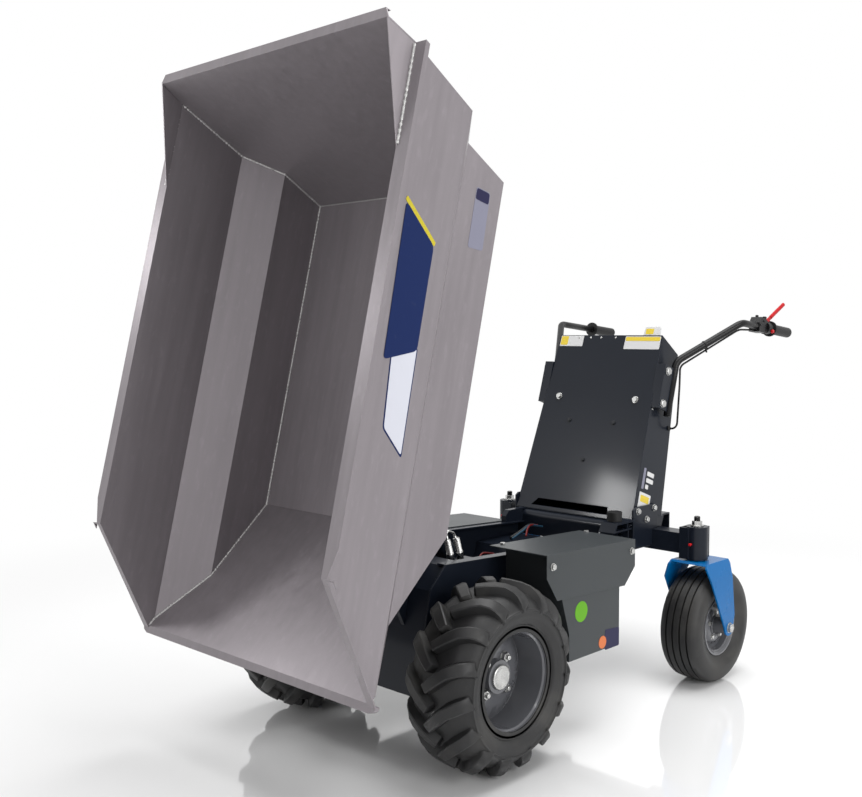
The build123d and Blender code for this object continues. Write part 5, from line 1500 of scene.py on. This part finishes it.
# ------------------------------------------------------------------ tower
@dataclass
class Tower:
    """The leaning control tower with its bars."""

    foot: tuple[float, float, float] = (-0.318, 0.218, 0.479)
    head: tuple[float, float, float] = (-0.516, 0.193, 1.029)
    top_rear: tuple[float, float, float] = (-0.601, 0.193, 0.969)
    panel_bolt: tuple[float, float] = (0.3745, 0.1440)
    small_bolts: Profile = ((0.2972, 0.0835), (0.2972, -0.0835), (0.1727, 0.0))
    edge_height: float = 0.5755
    edge_screws: tuple[float, ...] = (-0.115, -0.070, -0.030, 0.025)
    edge_screw: Profile = ((0.0034, 0.0), (0.0030, 0.0016), (0.0012, 0.0024))
    side_screws: Profile = ((0.4580, 0.010), (0.3520, 0.010), (0.4580, 0.030))
    side_screw: Profile = ((0.0042, 0.0), (0.0038, 0.0022), (0.0016, 0.0032))
    strap_face: float = 0.228
    strap_bolts: Profile = ((-0.4624, 0.8228), (-0.4916, 0.9195))
    strap_washer: Profile = ((0.0128, 0.0), (0.0128, 0.0022))
    lid_half: float = 0.1888
    lid_sheet: float = 0.0028
    lid_screw: Profile = ((0.0040, 0.0), (0.0036, 0.0018), (0.0015, 0.0026))

    def front_place(self) -> Place:
        """Find the front's plane.

        Returns:
            A place at the front's foot; along runs up its lean, across to the left.
        """
        rise = (Vector(self.head) - Vector(self.foot)) * Vector((1.0, 0.0, 1.0))
        rise.normalize()
        foot = Vector((self.foot[0], 0.0, self.foot[2]))
        return Place(foot, rise, LEFTWARD, LEFTWARD.cross(rise))

    def side_place(self, side: Side) -> Place:
        """Return a side's plane.

        Args:
            side: Which side of the tower.

        Returns:
            A place whose origin is the side's lower front corner; along runs up its front
            edge, across runs rearward and up points outward.
        """
        mirror = Vector((1.0, side.value, 1.0))
        foot, head = Vector(self.foot) * mirror, Vector(self.head) * mirror
        rise = (head - foot).normalized()
        outward = rise.cross(FORWARD).normalized() * side.value
        return Place(foot, rise, rise.cross(outward) * side.value, outward)

    def top_place(self) -> Place:
        """Find the top's plane.

        Returns:
            A place at the front edge; along runs rearward, across to the left.
        """
        head = Vector((self.head[0], 0.0, self.head[2]))
        back = (Vector((self.top_rear[0], 0.0, self.top_rear[2])) - head).normalized()
        return Place(head, back, LEFTWARD, LEFTWARD.cross(back))

    def bolts(self) -> None:
        """Add the bolts and screws of the front, the straps and the sides."""
        front = self.front_place()
        bright, dark = Form("tower_bolts"), Form("tower_screws")
        height, across = self.panel_bolt
        for hand in (1, -1):
            bright.bolt(front.at(height, hand * across, 0.0), front.up, 0.0052)
        for height, across in self.small_bolts:
            dark.bolt(front.at(height, across, 0.0), front.up, 0.0034)
        dark.piece("chassis", CASTING, bevel=0.0003)
        for across in self.edge_screws:
            spot = front.at(self.edge_height, across, 0.0)
            bright.turned(self.edge_screw, spot, front.up, steps=16)
        for side in Side:
            for x, z in self.strap_bolts:
                seat = Vector((x, side.value * self.strap_face, z))
                bright.turned(self.strap_washer, seat, side.outward, steps=32)
                bright.hexagon(seat, side.outward, 0.0120, 0.0080)
            plane = self.side_place(side)
            for height, back in self.side_screws:
                spot = plane.at(height, back, 0.0)
                bright.turned(self.side_screw, spot, plane.up, steps=16)
        bright.piece("chassis", ZINC, bevel=0.0003)

    def labels(self) -> None:
        """Lay the blank labels on the front and the left side, and stand the tag on top."""
        front, left = self.front_place(), self.side_place(Side.LEFT)
        on_front = (
            Label("label_a", PAPER, oblong((0.538, 0.062), (0.580, 0.190))),
            Label("label_a_head", PAPER_YELLOW, oblong((0.565, 0.064), (0.578, 0.188)), layer=1),
            Label("label_b", PAPER, oblong((0.546, -0.188), (0.582, -0.098))),
            Label("label_b_head", PAPER_YELLOW, oblong((0.550, -0.186), (0.580, -0.158)), layer=1),
        )
        on_left = (
            Label("label_c", FILM_SILVER, oblong((0.108, 0.020), (0.172, 0.032))),
            Label("label_d", PAPER, oblong((0.042, 0.016), (0.098, 0.078))),
            Label("label_d_head", PAPER_YELLOW, oblong((0.070, 0.024), (0.090, 0.070)), layer=1),
            Label("label_e", PAPER, oblong((0.152, 0.040), (0.165, 0.078))),
            Label("label_f", PAPER, oblong((0.132, 0.040), (0.145, 0.078))),
            Label("label_g", PAPER, oblong((0.112, 0.040), (0.125, 0.056))),
        )
        for face, films in ((front, on_front), (left, on_left)):
            for film in films:
                film.lay(face, "chassis")
        behind = Place(front.at(0.0, 0.0, -0.0020), front.along, front.across, front.up)
        plan = ((0.570, 0.122), (0.570, 0.186), (0.612, 0.182), (0.612, 0.126))
        tag = rounded([behind.at(along, across, 0.0) for along, across in plan], 0.006)
        Form("top_tag").prism(tag, behind.up * -0.0015).piece("chassis", PAPER, bevel=0.0003)
        head = oblong((0.588, 0.130), (0.606, 0.158))
        Label("top_tag_head", PAPER_YELLOW, head).lay(behind, "chassis")

    def lid(self) -> None:
        """Close the tower's top with a flat panel held by four screws."""
        top, half = self.top_place(), self.lid_half
        reach = Vector(self.top_rear) - Vector(self.head)
        near, far = 0.0038, reach.length - 0.0030
        outline = [top.at(*point, -0.0035) for point in oblong((near, -half), (far, half))]
        panel = Form("tower_lid").prism(outline, top.up * self.lid_sheet)
        panel.piece("chassis", CHASSIS, bevel=0.0004)
        screws = Form("lid_screws")
        for along in (near + 0.012, far - 0.012):
            for across in (0.014 - half, half - 0.014):
                screws.turned(self.lid_screw, top.at(along, across, -0.0009), top.up, steps=16)
        screws.piece("chassis", ZINC, crease=40.0)

    def build(self) -> None:
        """Build the fittings and dress the tower."""
        self.bolts()
        self.labels()
        self.lid()
        dress_nodes(CHASSIS, 0.0015, "tower_shell", "tower_back")


@dataclass
class Handlebars:
    """The two bars with their grips, the left bar's control housing and its cable."""

    grip_start: tuple[float, float, float] = (-0.9066, 0.347, 1.0491)
    grip_run: tuple[float, float, float] = (-0.9953, 0.0, -0.0969)
    knee: tuple[float, float, float] = (-0.544, 0.225, 0.948)
    elbow: tuple[float, float, float] = (-0.723, 0.347, 1.067)
    lever_line: Profile = (
        (-0.0040, 0.0365), (-0.030, 0.0525), (-0.060, 0.0705), (-0.0905, 0.0890)
    )
    lever_section: tuple[float, float] = (0.0056, 0.0066)
    button: Profile = ((0.0062, 0.0), (0.0062, 0.005), (0.0050, 0.0068))
    screw: Profile = ((0.0036, 0.0), (0.0030, 0.0026))
    screws: Profile = ((0.042, -0.010), (0.083, 0.004), (0.060, 0.018))
    collar: Profile = ((0.0205, 0.0), (0.0205, 0.004), (0.0195, 0.005))
    tie_loop: Profile = ((0.0112, -0.002), (0.0126, -0.002), (0.0126, 0.002), (0.0112, 0.002))
    tie_share: float = 0.43

    def grip_place(self) -> Place:
        """Return the left grip's frame: along runs to the elbow, up off the bar's top."""
        along = -Vector(self.grip_run)
        return Place(Vector(self.grip_start), along, LEFTWARD, along.cross(LEFTWARD))

    def lever(self) -> None:
        """Add the lever's red sleeve and the red button."""
        grip = self.grip_place()
        wide, high = self.lever_section
        section = [(wide * math.cos(turn), high * math.sin(turn)) for turn in turns(16)]
        path = [grip.at(along, 0.0, up) for along, up in self.lever_line]
        sleeve = Form("lever_sleeve").swept(path, lambda _: section, grip.up)
        sleeve.piece("chassis", RED, bevel=0.0008)
        spot = grip.at(0.014, 0.0165, -0.010)
        button = Form("red_button").turned(self.button, spot, grip.across, steps=24)
        button.piece("chassis", RED, crease=40.0)

    def knobs(self) -> None:
        """Add the knobs, screws and collar of the control housing."""
        grip = self.grip_place()
        form = Form("pod_knobs")
        for along, across, up, radius in (
            (0.048, 0.006, 0.025, 0.0065),
            (0.068, -0.010, 0.028, 0.0050),
        ):
            knob = ((radius, 0.0), (radius, 0.007), (radius * 0.8, 0.009))
            form.turned(knob, grip.at(along, across, up), grip.up, steps=24)
        for along, up in self.screws:
            form.turned(self.screw, grip.at(along, 0.0118, up), grip.across, steps=16)
        form.turned(self.collar, grip.at(0.0315, 0.0, 0.0), grip.along, steps=40)
        form.piece("chassis", PLASTIC, bevel=0.0004)

    def cable_tie(self) -> None:
        """Tie the cable to the left bar, with the tie's tail hanging down."""
        knee, elbow = Vector(self.knee), Vector(self.elbow)
        middle = knee.lerp(elbow, self.tie_share)
        run = (elbow - knee).normalized()
        drop = run.cross(LEFTWARD).normalized()
        foot = middle - drop * math.copysign(0.0115, drop.z)
        tail = [foot, foot - UPWARD * 0.006, foot + Vector((0.0, 0.004, -0.014))]
        form = Form("cable_tie").turned(self.tie_loop, middle, run, steps=32, ring=True)
        form.tube(tail, 0.0028, sides=8).piece("chassis", GRIP, crease=50.0)

    def build(self) -> None:
        """Build the fittings and dress the bars' nodes."""
        self.lever()
        self.knobs()
        self.cable_tie()
        dress_nodes(GRIP, 0.0, "control_cable")
        dress_nodes(CHASSIS, 0.001, "bar_brackets")
        dress_nodes(PLASTIC, 0.0, "handlebars")
        dress_nodes(GRIP, 0.001, "hand_grips")
        dress_nodes(PLASTIC, 0.002, "control_pod")
        dress_nodes(RED, 0.0015, "control_lever")


# ------------------------------------------------------------------ studio
@dataclass(frozen=True)
class Lamp:
    """A soft square lamp.

    Args:
        name: The lamp's name.
        spot: Where it hangs.
        aim: The point that it faces.
        size: The side of the square.
        power: Its power in watts.
        gloss_only: Whether it shows only as a highlight.
    """

    name: str
    spot: tuple[float, float, float]
    aim: tuple[float, float, float]
    size: float
    power: float
    gloss_only: bool = False

    def hang(self) -> None:
        """Add the lamp to the scene."""
        data = bpy.data.lights.new(self.name, "AREA")
        data.energy = self.power
        data.size = self.size
        made = bpy.data.objects.new(self.name, data)
        made.location = self.spot
        aim = Vector(self.aim) - Vector(self.spot)
        made.rotation_euler = aim.to_track_quat("-Z", "Y").to_euler()
        made.visible_diffuse = not self.gloss_only
        bpy.context.scene.collection.objects.link(made)


@dataclass
class Studio:
    """The floor, lights, world and camera."""

    camera_place: tuple[float, float, float] = (2.3111, 1.9234, 1.0361)
    camera_turn: float = 223.835
    camera_tilt: float = -3.566
    lens: float = 44.05
    sensor: float = 36.0
    ambient: float = 0.50
    floor_reach: float = 14.0
    floor_tone: float = 0.93
    floor_fade: tuple[float, float] = (1.3, 3.2)
    sheen: float = 0.3
    sheen_fade: tuple[float, float] = (0.5, 1.9)
    sheen_roughness: float = 0.06
    lamps: tuple[Lamp, ...] = (
        Lamp("top", (-0.2, 0.3, 4.2), (-0.1, 0.0, 0.4), 3.0, 150.0),
        Lamp("left", (0.6, 4.4, 2.0), (0.0, 0.0, 0.7), 2.4, 90.0),
        Lamp("front", (4.6, 0.6, 2.4), (0.2, 0.0, 0.8), 2.4, 24.0),
        Lamp("accent", (1.80, -1.45, 1.70), (-0.35, 0.05, 0.50), 0.26, 10.0, gloss_only=True),
    )

    def camera(self) -> None:
        """Set up the camera."""
        data = bpy.data.cameras.new("camera")
        data.lens = self.lens
        data.sensor_width = self.sensor
        made = bpy.data.objects.new("camera", data)
        made.location = self.camera_place
        turn, tilt = math.radians(self.camera_turn), math.radians(self.camera_tilt)
        aim = Vector(
            (math.cos(tilt) * math.cos(turn), math.cos(tilt) * math.sin(turn), math.sin(tilt))
        )
        made.rotation_euler = aim.to_track_quat("-Z", "Y").to_euler()
        bpy.context.scene.collection.objects.link(made)
        bpy.context.scene.camera = made

    def world(self) -> None:
        """Make a world that looks white and lights softly."""
        world = bpy.data.worlds.new("studio")
        bpy.context.scene.world = world
        world.use_nodes = True
        graph = Graph(world.node_tree)
        camera, glossy, transmitted = (
            graph.node("ShaderNodeLightPath", output=f"Is {kind} Ray")
            for kind in ("Camera", "Glossy", "Transmission")
        )
        seen = camera + glossy + transmitted
        strength = seen * (1.0 - self.ambient) + self.ambient
        shade = graph.node(
            "ShaderNodeBackground", values={"Color": (1, 1, 1), "Strength": strength}
        )
        graph.node("ShaderNodeOutputWorld", values={"Surface": shade})

    def floor_paint(self) -> bpy.types.Material:
        """Mix the floor's paint: pale, a little glossy near the machine, white far off.

        Returns:
            The material.
        """
        low, high = CAD_BOX
        middle = (low + high) / 2
        paint = bpy.data.materials.new("floor")
        paint.use_nodes = True
        graph = Graph(paint.node_tree)
        point = graph.node("ShaderNodeTexCoord", output="Object")
        away = point - graph.node(
            "ShaderNodeCombineXYZ", values={"X": middle.x, "Y": middle.y, "Z": low.z}
        )
        distance = graph.node(
            "ShaderNodeVectorMath", {"operation": "LENGTH"}, {0: away}, output="Value"
        )
        white = (1, 1, 1)
        matt = graph.node("ShaderNodeBsdfDiffuse", values={"Color": (self.floor_tone,) * 3})
        gloss = graph.node(
            "ShaderNodeBsdfGlossy", values={"Color": white, "Roughness": self.sheen_roughness}
        )
        glow = graph.node("ShaderNodeEmission", values={"Color": white, "Strength": 1.0})
        sheen = (1 - distance.between(*self.sheen_fade)) * self.sheen
        near = graph.node("ShaderNodeMixShader", values={0: sheen, 1: matt, 2: gloss})
        far = distance.between(*self.floor_fade)
        both = graph.node("ShaderNodeMixShader", values={0: far, 1: near, 2: glow})
        graph.node("ShaderNodeOutputMaterial", values={"Surface": both})
        return paint

    def floor(self) -> None:
        """Lay the floor under the machine."""
        level, reach = CAD_BOX[0].z, self.floor_reach
        data = bpy.data.meshes.new("floor")
        corners = oblong((-reach, -reach), (reach, reach))
        data.from_pydata([(x, y, level) for y, x in corners], [], [(0, 1, 2, 3)])
        made = bpy.data.objects.new("floor", data)
        bpy.context.scene.collection.objects.link(made)
        data.materials.append(self.floor_paint())

    def build(self) -> None:
        """Set up the whole studio."""
        bpy.context.scene.view_settings.view_transform = "Standard"
        self.camera()
        self.world()
        self.floor()
        for lamp in self.lamps:
            lamp.hang()


def main() -> None:
    """Build every sub-assembly."""
    logging.basicConfig(level=logging.INFO, format="%(message)s")
    Studio().build()
    Tub().build()
    for side in Side:
        DriveWheel(side).build()
        Castor(side).build()
    Chassis().build()
    Tower().build()
    Handlebars().build()


if __name__ == "__main__":
    main()
